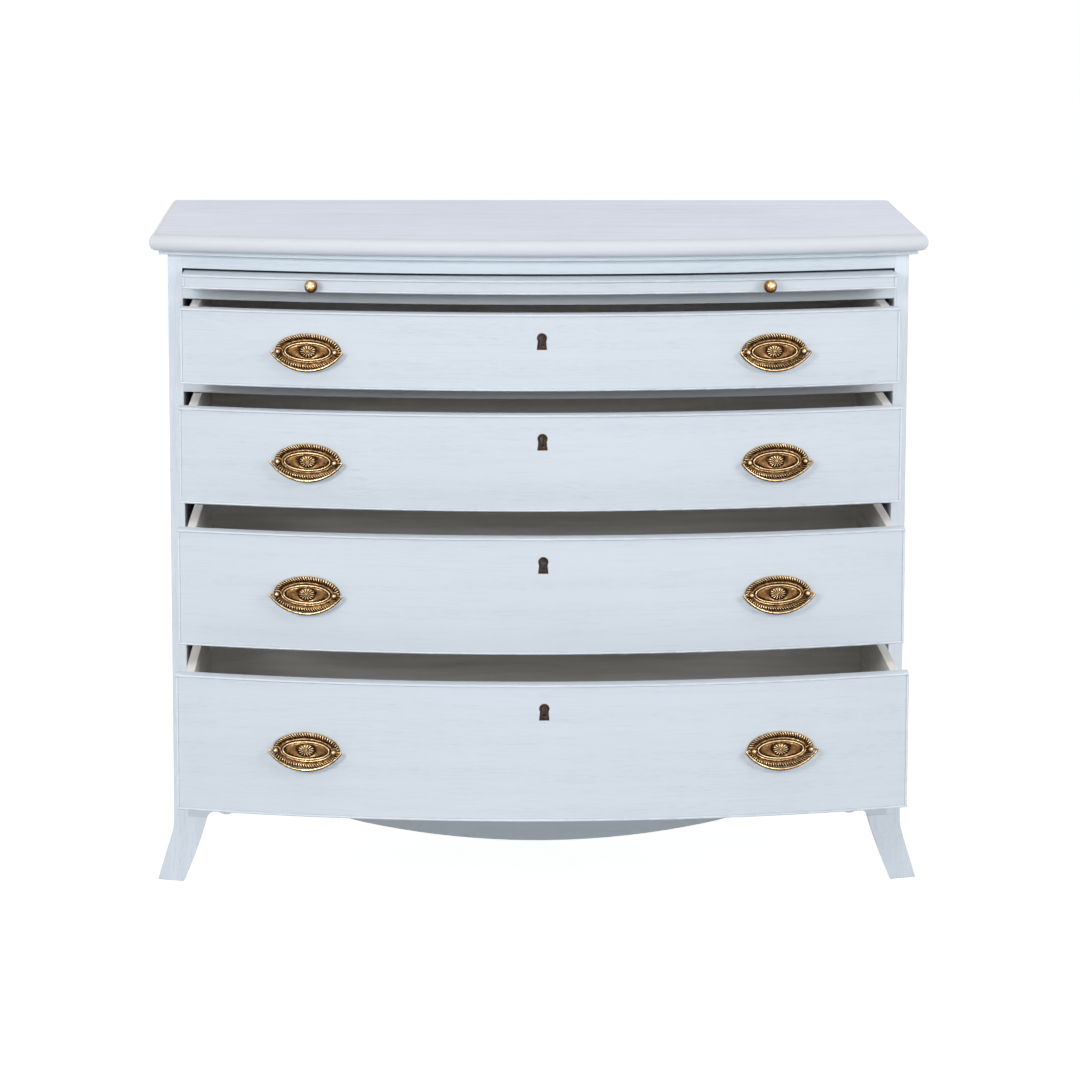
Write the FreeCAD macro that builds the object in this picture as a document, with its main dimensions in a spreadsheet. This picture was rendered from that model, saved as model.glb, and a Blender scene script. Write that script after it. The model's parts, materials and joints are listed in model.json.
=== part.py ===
import FreeCAD, Part

# Bow front chest of drawers in painted oak: a bowed case on splayed feet, four graduated
# cock-beaded drawers, a brushing slide above them, and oval brass plates with drop bails.
#
# Frame: +Z up, +X to the right, the front faces -Y. The drawers and the slide are placed
# part open, at their rest openings, and the origin is on the floor under the middle of the
# chest as it then stands, from the bottom drawer's bead to the back edge of the top.
# Every piece is drawn with Y = 0 on the line through the two front corners of the case.
# CASE_FRONT is where that line stands.

import os
import Sketcher

DRAWERS = ("top", "second", "third", "bottom")

SIZES = (
    # the case
    ("case_width", 956),
    ("case_depth", 438),
    ("case_bow", 79),
    ("side_thickness", 19),
    ("back_thickness", 8),
    ("base_height", 157),
    ("bottom_thickness", 21),
    # the top, its nosing and the flat moulding under it
    ("top_side_overhang", 22),
    ("top_front_overhang", 26),
    ("top_back_overhang", 2),
    ("top_bow", 81),
    ("top_thickness", 22),
    ("nosing_radius", 10),
    ("moulding_height", 6),
    ("moulding_reach", 11),
    # rails between the drawers
    ("frieze_height", 24),
    ("slide_rail_height", 18),
    ("rail_height", 21),
    ("rail_back", 40),
    # the feet
    ("foot_height", 86),
    ("foot_splay", 22),
    ("foot_front_splay", 8),
    ("foot_bend", 15.5),
    ("foot_head", 44),
    ("foot_sole", 34.5),
    ("foot_inner_radius", 600),
    # the shaped lower edges
    ("apron_thickness", 20),
    ("arch_span", 17.5),
    ("arch_radius", 12.5),
    ("cusp_rise", 7.8),
    ("cusp_span", 14),
    ("cusp_radius", 14),
    ("rise_span", 31),
    ("rise_radius", 44),
    ("peak_height", 113),
    ("peak_span", 62),
    ("peak_radius", 200),
    ("shoulder_drop", 4),
    ("shoulder_span", 80),
    ("belly_end_height", 91),
    ("belly_height", 70),
    ("side_arch_height", 107),
    ("side_arch_radius", 20),
    # the drawers
    ("top_drawer_height", 97),
    ("second_drawer_height", 122),
    ("third_drawer_height", 147),
    ("bottom_drawer_height", 172),
    ("top_drawer_open", 93),
    ("second_drawer_open", 137),
    ("third_drawer_open", 195),
    ("bottom_drawer_open", 266),
    ("front_clearance", 1.5),
    ("front_thickness", 21),
    ("bead_width", 3),
    ("bead_depth", 9),
    ("bead_reach", 2),
    ("bead_nose_radius", 1.4),
    ("box_inset", 11.5),
    ("box_side_thickness", 11),
    ("box_back_thickness", 10),
    ("box_back_drop", 8),
    ("box_back_gap", 30),
    ("box_tail", 2),
    ("drawer_bottom_thickness", 6),
    ("drawer_bottom_rise", 8),
    ("groove_depth", 5),
    # shared by all joints: the gap left for glue, and how far a cut runs past the piece
    ("glue_line", 0.1),
    ("cut_overshoot", 1),
    # what the drawers run on
    ("running_gap", 0.3),
    ("guide_clearance", 1),
    ("guide_height", 20),
    ("ledge_width", 18),
    ("stop_place", 200),
    ("stop_width", 24),
    ("stop_depth", 25),
    ("stop_height", 6),
    ("corner_block_width", 24),
    # the keyhole inserts
    ("keyhole_drop", 34),
    ("keyhole_width", 12.8),
    ("keyhole_waist", 10.4),
    ("keyhole_height", 21),
    ("keyhole_plate", 3),
    ("key_slot_width", 5.6),
    ("key_slot_waist", 3.8),
    ("key_slot_height", 14.2),
    ("key_slot_depth", 17),
    # the handles
    ("handle_spacing", 588),
    ("handle_drop", 1.5),
    ("plate_width", 85),
    ("plate_height", 45),
    ("plate_thickness", 1.6),
    ("plate_rim_width", 5),
    ("plate_rim_height", 2.2),
    ("plate_band_width", 61),
    ("plate_band_height", 24.5),
    ("post_spacing", 73),
    ("post_ball", 8.2),
    ("post_neck", 5),
    ("post_collar", 9),
    ("post_collar_height", 1),
    ("post_reach", 9),
    ("post_hole_clearance", 0.2),
    ("nut_width", 11),
    ("nut_height", 3.5),
    ("post_tail", 2),
    ("pin_diameter", 3),
    ("pivot_clearance", 0.08),
    ("pin_grip", 3.5),
    ("bail_width", 93),
    ("bail_drop", 23.5),
    ("bail_diameter", 4),
    # the brushing slide
    ("slide_height", 18),
    ("slide_lift", 0.5),
    ("slide_clearance", 2.5),
    ("slide_open", 52),
    ("slide_bearer_width", 22),
    ("knob_spacing", 576),
    ("knob_ball", 16.5),
    ("knob_neck", 6.5),
    ("knob_collar", 10.5),
    ("knob_collar_height", 1.6),
    ("knob_reach", 13.5),
    ("knob_screw", 4),
    ("knob_screw_length", 22),
)

# ---------------------------------------------------------------- shared expressions

STANDS_FORWARD = "(Sizes.case_bow + Sizes.bottom_drawer_open + Sizes.bead_reach)"
STANDS_BACK = "(Sizes.case_depth + Sizes.top_back_overhang)"
CASE_FRONT = f"(({STANDS_FORWARD} - {STANDS_BACK}) / 2)"
HALF_CASE = "(Sizes.case_width / 2)"
HALF_OPENING = "(Sizes.case_width / 2 - Sizes.side_thickness)"
HALF_FRONT = f"({HALF_OPENING} - Sizes.front_clearance)"
HALF_SLIDE = f"({HALF_OPENING} - Sizes.slide_clearance)"
HALF_BOX = f"({HALF_FRONT} - Sizes.box_inset)"
BOW_RADIUS = f"(({HALF_CASE}^2 + Sizes.case_bow^2) / (2 * Sizes.case_bow))"
BOW_CENTRE = f"({BOW_RADIUS} - Sizes.case_bow)"
INSIDE_BACK = "(Sizes.case_depth - Sizes.back_thickness)"
BOX_END = f"({INSIDE_BACK} - Sizes.box_back_gap)"
HALF_TOP = f"({HALF_CASE} + Sizes.top_side_overhang)"
TOP_RADIUS = f"(({HALF_TOP}^2 + Sizes.top_bow^2) / (2 * Sizes.top_bow))"
BAIL_HALF = "(Sizes.bail_width / 2)"
BAIL_RADIUS = f"(({BAIL_HALF}^2 + Sizes.bail_drop^2) / (2 * Sizes.bail_drop))"
FOOT_INSIDE = f"({HALF_CASE} - Sizes.foot_head)"
POST_SAG = f"((Sizes.post_spacing / 2)^2 / (2 * ({BOW_RADIUS} - Sizes.front_thickness)))"
NUT_SEAT = f"(Sizes.front_thickness + {POST_SAG} + 2 * Sizes.glue_line)"
RIGHT_THROUGH = "(2 * Sizes.case_depth)"

# how near two lengths are, in mm, to count as the same
TOLERANCE = 1e-3


def bow_at(across, inset="0"):
    """Y of the bowed face at a distance across, for a face set in behind the front."""
    return f"({BOW_CENTRE} - sqrt(({BOW_RADIUS} - ({inset}))^2 - ({across})^2))"


def stack_levels():
    """Underside of each drawer front, of the slide and of the top, from the base up."""
    levels = {}
    level = "Sizes.base_height"
    for name in reversed(DRAWERS):
        levels[name] = f"({level} + Sizes.front_clearance)"
        opening = f"{level} + 2 * Sizes.front_clearance + Sizes.{name}_drawer_height"
        above = "Sizes.slide_rail_height" if name == "top" else "Sizes.rail_height"
        levels[f"{name}_rail"] = f"({opening})"
        level = f"({opening} + {above})"
    levels["slide"] = f"({level} + Sizes.slide_lift)"
    headroom = "Sizes.slide_lift + Sizes.slide_height + Sizes.slide_clearance"
    levels["frieze"] = f"({level} + {headroom})"
    levels["top_board"] = f"({levels['frieze']} + Sizes.frieze_height)"
    return levels


LEVEL = stack_levels()

# ---------------------------------------------------------------- document and helpers

doc = FreeCAD.newDocument("BowFrontChest")
sheet = doc.addObject("Spreadsheet::Sheet", "Sizes")
for row, (alias, size) in enumerate(SIZES, start=1):
    sheet.set(f"A{row}", alias.replace("_", " "))
    sheet.set(f"B{row}", str(size))
    sheet.setAlias(f"B{row}", alias)
doc.recompute()

nodes = []


def value(expression):
    """Number that an expression has now."""
    return float(sheet.evalExpression(expression))


def bind(thing, **sizes):
    """Bind plain properties of an object to expressions."""
    for name, expression in sizes.items():
        thing.setExpression(name, expression)


def seat(thing, x="0", y="0", z="0"):
    """Bind where an object stands."""
    for axis, expression in zip("xyz", (x, y, z)):
        if expression != "0":
            thing.setExpression(f"Placement.Base.{axis}", expression)
    return thing


def node(thing, label):
    """Give a sub-part the name that it is written under."""
    thing.Label = label
    nodes.append(thing)
    return thing


def make_body(name):
    return doc.addObject("PartDesign::Body", name)


def origin_plane(body, role):
    return [plane for plane in body.Origin.OriginFeatures if plane.Role == role][0]


def make_sketch(body, name, role, lift="0"):
    """Empty sketch on one of the body's own planes, raised along its normal."""
    sketch = body.newObject("Sketcher::SketchObject", name)
    sketch.AttachmentSupport = [(origin_plane(body, role), "")]
    sketch.MapMode = "FlatFace"
    if lift != "0":
        sketch.setExpression("AttachmentOffset.Base.z", lift)
    return sketch


def hold_point(sketch, curve, end, tag, across, along):
    """Fix a point of a sketch at two expressions measured from the sketch's origin."""
    for kind, name, expression in (("DistanceX", "across", across), ("DistanceY", "along", along)):
        label = f"{name}_{tag}"
        sketch.addConstraint(Sketcher.Constraint(kind, -1, 1, curve, end, value(expression)))
        sketch.renameConstraint(sketch.ConstraintCount - 1, label)
        sketch.setExpression(f"Constraints.{label}", expression)


def hold_radius(sketch, curve, tag, radius):
    sketch.addConstraint(Sketcher.Constraint("Radius", curve, value(radius)))
    sketch.renameConstraint(sketch.ConstraintCount - 1, f"radius_{tag}")
    sketch.setExpression(f"Constraints.radius_{tag}", radius)


def arc_middle(start, end, radius, side):
    """Middle of the short arc between two points, to the left (+1) or right (-1) of the way."""
    chord = end - start
    rise = radius - (radius**2 - chord.Length**2 / 4) ** 0.5
    left = FreeCAD.Vector(-chord.y, chord.x, 0).normalize()
    return (start + end) / 2 + left * (side * rise)


def add_outline(sketch, corners, tag=""):
    """Closed outline. A corner is (across, along), or (across, along, radius, side) where
    the edge that leaves it is an arc."""
    points = [FreeCAD.Vector(value(c[0]), value(c[1]), 0) for c in corners]
    ends = []
    for index, corner in enumerate(corners):
        start = points[index]
        end = points[(index + 1) % len(points)]
        if len(corner) == 2:
            edge = Part.LineSegment(start, end)
        else:
            edge = Part.Arc(start, arc_middle(start, end, value(corner[2]), corner[3]), end)
        curve = sketch.addGeometry(edge, False)
        first = 1 if (sketch.getPoint(curve, 1) - start).Length < TOLERANCE else 2
        ends.append((curve, first))
    for index, corner in enumerate(corners):
        curve, first = ends[index]
        before, before_first = ends[index - 1]
        sketch.addConstraint(
            Sketcher.Constraint("Coincident", before, 3 - before_first, curve, first)
        )
        hold_point(sketch, curve, first, f"{tag}{index}", corner[0], corner[1])
        if len(corner) > 2:
            hold_radius(sketch, curve, f"{tag}{index}", corner[2])
    return sketch


def add_circle(sketch, across, along, radius, tag):
    centre = FreeCAD.Vector(value(across), value(along), 0)
    circle = Part.Circle(centre, FreeCAD.Vector(0, 0, 1), value(radius))
    curve = sketch.addGeometry(circle, False)
    hold_point(sketch, curve, 3, tag, across, along)
    hold_radius(sketch, curve, tag, radius)
    return sketch


def pad(body, sketch, length, reverse=False, midplane=False):
    feature = body.newObject("PartDesign::Pad", f"{sketch.Name}_pad")
    feature.Profile = sketch
    feature.Reversed = reverse
    if midplane:
        feature.SideType = "Symmetric"
    bind(feature, Length=length)
    sketch.Visibility = False
    doc.recompute()
    return feature


def pocket(body, sketch, length=None, reverse=False, midplane=False):
    """Pocket to a depth, or through all. It has to take something away."""
    before = body.Shape.Volume
    feature = body.newObject("PartDesign::Pocket", f"{sketch.Name}_pocket")
    feature.Profile = sketch
    feature.Reversed = reverse
    if midplane:
        feature.SideType = "Symmetric"
    if length is None:
        feature.Type = "ThroughAll"
    else:
        bind(feature, Length=length)
    doc.recompute()
    if body.Shape.Volume > before - TOLERANCE:
        raise RuntimeError(f"{feature.Name} cuts nothing")
    return feature


def revolve(body, sketch, axis="V_Axis"):
    feature = body.newObject("PartDesign::Revolution", f"{sketch.Name}_turned")
    feature.Profile = sketch
    feature.ReferenceAxis = (sketch, [axis])
    feature.Angle = 360
    doc.recompute()
    return feature


def fillet(body, radius, wanted):
    """Round the edges that wanted(edge) picks from the body's last feature."""
    base = body.Tip
    names = [f"Edge{i}" for i, edge in enumerate(base.Shape.Edges, start=1) if wanted(edge)]
    feature = body.newObject("PartDesign::Fillet", f"{body.Name}_rounding")
    feature.Base = (base, names)
    bind(feature, Radius=radius)
    doc.recompute()
    return feature


def board(name, x, y, z):
    """Rectangular piece between two expressions along each axis."""
    box = doc.addObject("Part::Box", name)
    bind(
        box,
        Length=f"({x[1]}) - ({x[0]})",
        Width=f"({y[1]}) - ({y[0]})",
        Height=f"({z[1]}) - ({z[0]})",
    )
    return seat(box, x[0], y[0], z[0])


def copy_of(source, name, x="0", y="0", z="0", turn=None):
    """Another example of a piece, moved and turned about its own upright axis."""
    link = doc.addObject("App::Link", name)
    link.LinkedObject = source
    seat(link, x, y, z)
    if turn is not None:
        link.Placement.Rotation = FreeCAD.Rotation(FreeCAD.Vector(0, 0, 1), 1)
        link.setExpression("Placement.Rotation.Angle", turn)
    return link


def group(name, pieces):
    compound = doc.addObject("Part::Compound", name)
    compound.Links = pieces
    return compound


def mirrored(source, name):
    """The same piece for the other side of the chest."""
    twin = doc.addObject("Part::Mirroring", name)
    twin.Source = source
    twin.Normal = FreeCAD.Vector(1, 0, 0)
    return twin


def common(name, first, second):
    shape = doc.addObject("Part::MultiCommon", name)
    shape.Shapes = [first, second]
    return shape


# ---------------------------------------------------------------- the case


def bowed_board(name, half_width, height, inset="0", back="Sizes.rail_back"):
    """Board with a bowed front edge and a straight back edge."""
    body = make_body(name)
    sketch = make_sketch(body, f"{name}_plan", "XY_Plane")
    front = bow_at(half_width, inset)
    add_outline(
        sketch,
        [
            (f"-{half_width}", front, f"{BOW_RADIUS} - ({inset})", -1),
            (half_width, front),
            (half_width, back),
            (f"-{half_width}", back),
        ],
    )
    pad(body, sketch, height)
    return body


def bowed_strip(name, left, right, outer, inner, height, lift="0", body=None):
    """Strip that follows the bow, between two insets behind the face."""
    if body is None:
        body = make_body(name)
    sketch = make_sketch(body, f"{name}_plan", "XY_Plane", lift)
    add_outline(
        sketch,
        [
            (left, bow_at(left, outer), f"{BOW_RADIUS} - ({outer})", -1),
            (right, bow_at(right, outer)),
            (right, bow_at(right, inner), f"{BOW_RADIUS} - ({inner})", 1),
            (left, bow_at(left, inner)),
        ],
    )
    pad(body, sketch, height)
    return body


def make_top():
    """Top board with a rounded nosing on its front and side edges."""
    body = make_body("top_board_body")
    sketch = make_sketch(body, "top_plan", "XY_Plane")
    back = "Sizes.case_depth + Sizes.top_back_overhang"
    front = "-Sizes.top_front_overhang"
    add_outline(
        sketch,
        [
            (f"-{HALF_TOP}", front, TOP_RADIUS, -1),
            (HALF_TOP, front),
            (HALF_TOP, back),
            (f"-{HALF_TOP}", back),
        ],
    )
    pad(body, sketch, "Sizes.top_thickness")
    back_plane = value(back)
    fillet(
        body,
        "Sizes.nosing_radius",
        lambda edge: edge.BoundBox.ZLength < TOLERANCE and edge.BoundBox.YMin < back_plane - TOLERANCE,
    )
    seat(body, y=CASE_FRONT, z=LEVEL["top_board"])
    node(body, "top_board")


def make_top_moulding():
    """Flat moulding under the top: one bowed strip and two straight returns."""
    reach = "Sizes.moulding_reach"
    half = f"({HALF_CASE} + {reach})"
    front = bowed_strip(
        "moulding_front", f"-{half}", half, f"-{reach}", "-Sizes.glue_line", "Sizes.moulding_height"
    )
    returns = []
    corner = f"{bow_at(half, '-Sizes.glue_line')} + Sizes.glue_line"
    sides = (("left", f"-{half}", f"-{HALF_CASE}"), ("right", HALF_CASE, half))
    for side, start, end in sides:
        returns.append(
            board(
                f"moulding_{side}",
                (start, end),
                (corner, "Sizes.case_depth"),
                ("0", "Sizes.moulding_height"),
            )
        )
    moulding = group("moulding", [front] + returns)
    seat(moulding, y=CASE_FRONT, z=f"{LEVEL['top_board']} - Sizes.moulding_height")
    node(moulding, "top_moulding")


def make_sides():
    """Side panels. The front edge follows the bow and the lower edge is arched."""
    body = make_body("left_side_body")
    sketch = make_sketch(body, "side_plan", "XY_Plane", "Sizes.foot_height")
    add_outline(
        sketch,
        [
            (f"-{HALF_CASE}", "0", BOW_RADIUS, -1),
            (f"-{HALF_OPENING}", bow_at(HALF_OPENING)),
            (f"-{HALF_OPENING}", "Sizes.case_depth"),
            (f"-{HALF_CASE}", "Sizes.case_depth"),
        ],
    )
    pad(body, sketch, f"{LEVEL['top_board']} - Sizes.foot_height")
    arch = make_sketch(body, "side_arch", "YZ_Plane")
    start = "Sizes.foot_head"
    end = "(Sizes.case_depth - Sizes.foot_head)"
    foot = "Sizes.foot_height"
    crown = "Sizes.side_arch_height"
    radius = "Sizes.side_arch_radius"
    add_outline(
        arch,
        [
            (start, "0"),
            (end, "0"),
            (end, foot, radius, 1),
            (f"{end} - {radius}", crown),
            (f"{start} + {radius}", crown, radius, 1),
            (start, foot),
        ],
    )
    pocket(body, arch)
    seat(body, y=CASE_FRONT)
    node(body, "left_side")
    node(mirrored(body, "right_side_panel"), "right_side")


def make_rails():
    """Frieze rail, slide rail and the three rails between the drawers."""
    frieze = bowed_board("frieze_board", HALF_OPENING, "Sizes.frieze_height")
    seat(frieze, y=CASE_FRONT, z=LEVEL["frieze"])
    node(frieze, "frieze_rail")
    slide_rail = bowed_board("slide_rail_board", HALF_OPENING, "Sizes.slide_rail_height")
    seat(slide_rail, y=CASE_FRONT, z=LEVEL["top_rail"])
    node(slide_rail, "slide_rail")
    rail = bowed_board("drawer_rail_board", HALF_OPENING, "Sizes.rail_height")
    rails = []
    for name in DRAWERS[1:]:
        rails.append(copy_of(rail, f"rail_over_{name}_drawer", z=LEVEL[f"{name}_rail"]))
    rail_set = group("rail_set", rails)
    seat(rail_set, y=CASE_FRONT)
    node(rail_set, "drawer_rails")


def make_bottom_board():
    inset = "(Sizes.apron_thickness + Sizes.glue_line)"
    body = bowed_board(
        "bottom_board_body", HALF_OPENING, "Sizes.bottom_thickness", inset, INSIDE_BACK
    )
    seat(body, y=CASE_FRONT, z="Sizes.base_height - Sizes.bottom_thickness")
    node(body, "bottom_board")


def make_back_panel():
    panel = board(
        "back_panel_board",
        (f"-{HALF_OPENING}", HALF_OPENING),
        (f"{CASE_FRONT} + {INSIDE_BACK}", f"{CASE_FRONT} + Sizes.case_depth"),
        ("Sizes.side_arch_height", LEVEL["top_board"]),
    )
    node(panel, "back_panel")


def make_apron():
    """Bowed apron. Its lower edge has a belly in the middle and a cusp beside each foot."""
    body = bowed_strip(
        "apron_board",
        f"-{HALF_OPENING}",
        HALF_OPENING,
        "0",
        "Sizes.apron_thickness",
        "Sizes.base_height",
    )
    cusp_out = f"({FOOT_INSIDE} - Sizes.arch_span)"
    cusp_in = f"({cusp_out} - Sizes.cusp_span)"
    peak = f"({cusp_in} - Sizes.rise_span)"
    shoulder = f"({peak} - Sizes.peak_span)"
    belly = f"({shoulder} - Sizes.shoulder_span)"
    foot = "Sizes.foot_height"
    cusp = f"({foot} + Sizes.cusp_rise)"
    crest = "Sizes.peak_height"
    slope = f"({crest} - Sizes.shoulder_drop)"
    end = "Sizes.belly_end_height"
    sagitta = f"({end} - Sizes.belly_height)"
    belly_radius = f"({belly}^2 + {sagitta}^2) / (2 * {sagitta})"
    edge = make_sketch(body, "apron_edge", "XZ_Plane")
    far = HALF_CASE
    below = "-Sizes.cut_overshoot"
    add_outline(
        edge,
        [
            (f"-{far}", below),
            (f"-{far}", foot),
            (f"-{FOOT_INSIDE}", foot, "Sizes.arch_radius", 1),
            (f"-{cusp_out}", cusp, "Sizes.cusp_radius", -1),
            (f"-{cusp_in}", cusp, "Sizes.rise_radius", 1),
            (f"-{peak}", crest, "Sizes.peak_radius", 1),
            (f"-{shoulder}", slope),
            (f"-{belly}", end, belly_radius, -1),
            (belly, end),
            (shoulder, slope, "Sizes.peak_radius", 1),
            (peak, crest, "Sizes.rise_radius", 1),
            (cusp_in, cusp, "Sizes.cusp_radius", -1),
            (cusp_out, cusp, "Sizes.arch_radius", 1),
            (FOOT_INSIDE, foot),
            (far, foot),
            (far, below),
        ],
    )
    pocket(body, edge, RIGHT_THROUGH, midplane=True)
    seat(body, y=CASE_FRONT)
    node(body, "front_apron")


def foot_profile(sketch, corner, splay, sign):
    """Splayed foot seen square on, upright at its head and bent into a straight flare: corner
    is the case's edge, sign the side it leans to. Both tangents of the bend are as long."""
    tip = f"({corner} + {sign} * {splay})"
    sole_end = f"({tip} - {sign} * Sizes.foot_sole)"
    head_end = f"({corner} - {sign} * Sizes.foot_head)"
    flare = f"atan({splay} / (Sizes.foot_height - Sizes.foot_bend))"
    knee = f"({corner} + {sign} * Sizes.foot_bend * sin({flare}))"
    knee_level = f"(Sizes.foot_height - Sizes.foot_bend * (1 + cos({flare})))"
    radius = f"(Sizes.foot_bend / tan({flare} / 2))"
    return add_outline(
        sketch,
        [
            (corner, "Sizes.foot_height", radius, -sign),
            (knee, knee_level),
            (tip, "0"),
            (sole_end, "0", "Sizes.foot_inner_radius", sign),
            (head_end, "Sizes.foot_height"),
        ],
    )


def make_feet():
    """Front feet lean outward and forward, back feet outward only."""
    outline = make_body("foot_outline")
    sketch = make_sketch(outline, "foot_seen_from_front", "XZ_Plane")
    foot_profile(sketch, f"-{HALF_CASE}", "Sizes.foot_splay", -1)
    pad(outline, sketch, RIGHT_THROUGH, midplane=True)
    lean = make_body("foot_lean")
    side = make_sketch(lean, "foot_seen_from_side", "YZ_Plane")
    foot_profile(side, "0", "Sizes.foot_front_splay", -1)
    pad(lean, side, RIGHT_THROUGH, midplane=True)
    seat(lean, x=f"-{HALF_CASE}")
    lean.Placement.Rotation = FreeCAD.Rotation(FreeCAD.Vector(0, 0, 1), -1)
    chord = f"atan(({bow_at(FOOT_INSIDE)}) / Sizes.foot_head)"
    lean.setExpression("Placement.Rotation.Angle", chord)
    left = common("left_front_foot", outline, lean)
    front = group("front_foot_pair", [left, mirrored(left, "right_front_foot")])
    seat(front, y=CASE_FRONT)
    node(front, "front_feet")
    back_outline = make_body("back_foot_outline")
    back_sketch = make_sketch(back_outline, "back_foot_from_front", "XZ_Plane")
    foot_profile(back_sketch, f"-{HALF_CASE}", "Sizes.foot_splay", -1)
    pad(back_outline, back_sketch, "Sizes.foot_head")
    back = group("back_foot_pair", [back_outline, mirrored(back_outline, "right_back_foot")])
    seat(back, y=f"{CASE_FRONT} + Sizes.case_depth")
    node(back, "back_feet")


def make_corner_blocks():
    """Blocks that tie each foot to the bottom board."""
    inner = f"({HALF_OPENING} - Sizes.corner_block_width)"
    apron_back = bow_at(HALF_OPENING, "Sizes.apron_thickness")
    height = ("Sizes.foot_height", "Sizes.base_height - Sizes.bottom_thickness")
    front = board(
        "front_corner_block",
        (f"-{HALF_OPENING}", f"-{inner}"),
        (f"{apron_back} + Sizes.glue_line", "Sizes.foot_head"),
        height,
    )
    back = board(
        "back_corner_block",
        (f"-{HALF_OPENING}", f"-{inner}"),
        ("Sizes.case_depth - Sizes.foot_head", INSIDE_BACK),
        height,
    )
    pieces = [front, back, mirrored(front, "front_block_twin"), mirrored(back, "back_block_twin")]
    blocks = group("corner_block_set", pieces)
    seat(blocks, y=CASE_FRONT)
    node(blocks, "corner_blocks")


def make_runners():
    """Runners under the three upper drawers, each with a guide beside the drawer, and a
    guide alone for the bottom drawer, which runs on the bottom board."""
    body = make_body("runner")
    sketch = make_sketch(body, "runner_section", "XZ_Plane")
    guide = f"({HALF_BOX} + Sizes.guide_clearance)"
    ledge = f"({HALF_BOX} - Sizes.ledge_width)"
    top = "Sizes.rail_height"
    add_outline(
        sketch,
        [
            (f"-{HALF_OPENING}", "0"),
            (f"-{ledge}", "0"),
            (f"-{ledge}", top),
            (f"-{guide}", top),
            (f"-{guide}", f"{top} + Sizes.guide_height"),
            (f"-{HALF_OPENING}", f"{top} + Sizes.guide_height"),
        ],
    )
    pad(body, sketch, f"{INSIDE_BACK} - Sizes.rail_back", reverse=True)
    twin = mirrored(body, "runner_twin")
    pieces = []
    for drawer, rail in zip(DRAWERS[:-1], DRAWERS[1:]):
        level = LEVEL[f"{rail}_rail"]
        pieces.append(copy_of(body, f"{drawer}_left_runner", y="Sizes.rail_back", z=level))
        pieces.append(copy_of(twin, f"{drawer}_right_runner", y="Sizes.rail_back", z=level))
    floor_guide = board(
        "bottom_guide",
        (f"-{HALF_OPENING}", f"-{guide}"),
        ("Sizes.rail_back", INSIDE_BACK),
        ("Sizes.base_height", "Sizes.base_height + Sizes.guide_height"),
    )
    pieces += [floor_guide, mirrored(floor_guide, "bottom_guide_twin")]
    runner_set = group("runner_set", pieces)
    seat(runner_set, y=CASE_FRONT)
    node(runner_set, "drawer_runners")


def make_slide_bearers():
    """Strips under and over the brushing slide, along both sides."""
    inner = f"({HALF_OPENING} - Sizes.slide_bearer_width)"
    across = (f"-{HALF_OPENING}", f"-{inner}")
    along = ("Sizes.rail_back", INSIDE_BACK)
    gap = "Sizes.running_gap"
    slide_top = f"({LEVEL['slide']} + Sizes.slide_height)"
    lower = board("slide_bearer", across, along, (LEVEL["top_rail"], f"{LEVEL['slide']} - {gap}"))
    upper = board("slide_keeper", across, along, (f"{slide_top} + {gap}", LEVEL["top_board"]))
    pieces = [lower, upper, mirrored(lower, "bearer_twin"), mirrored(upper, "keeper_twin")]
    bearers = group("slide_bearer_set", pieces)
    seat(bearers, y=CASE_FRONT)
    node(bearers, "slide_bearers")


def make_drawer_stops():
    """Two small blocks behind each closed drawer front."""
    near = "(Sizes.stop_place - Sizes.stop_width / 2)"
    far = "(Sizes.stop_place + Sizes.stop_width / 2)"
    start = f"({bow_at(far, 'Sizes.front_thickness')} + Sizes.running_gap)"
    stops = []
    for name in DRAWERS:
        floor = f"({LEVEL[name]} - Sizes.front_clearance)"
        for side, across in (("left", (f"-{far}", f"-{near}")), ("right", (near, far))):
            stops.append(
                board(
                    f"{name}_{side}_stop",
                    across,
                    (start, f"{start} + Sizes.stop_depth"),
                    (floor, f"{floor} + Sizes.stop_height"),
                )
            )
    stop_set = group("stop_set", stops)
    seat(stop_set, y=CASE_FRONT)
    node(stop_set, "drawer_stops")


# ---------------------------------------------------------------- drawer parts

HANDLE_X = "(Sizes.handle_spacing / 2)"
HANDLE_TURN = f"asin({HANDLE_X} / {BOW_RADIUS})"
HANDLE_Y = bow_at(HANDLE_X)
POST_HOLE_RADIUS = "(Sizes.post_neck / 2 + Sizes.post_hole_clearance)"
SIDES = (("left", "-"), ("right", ""))


def keyhole_outline(sketch, width, waist, height, top, tag, clearance="0"):
    """Round head over a waist that widens to a square foot, hung from its top."""
    head = f"({width} / 2 + {clearance})"
    middle = f"({waist} / 2 + {clearance})"
    shoulder = f"({top} + {clearance} - {head})"
    waist_level = f"({top} - {height} / 2)"
    foot = f"({top} - {height} - {clearance})"
    add_outline(
        sketch,
        [
            (f"-{head}", foot),
            (head, foot),
            (middle, waist_level),
            (head, shoulder, f"{head}", -1),
            ("0", f"{top} + {clearance}", f"{head}", -1),
            (f"-{head}", shoulder),
            (f"-{middle}", waist_level),
        ],
        tag,
    )


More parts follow.
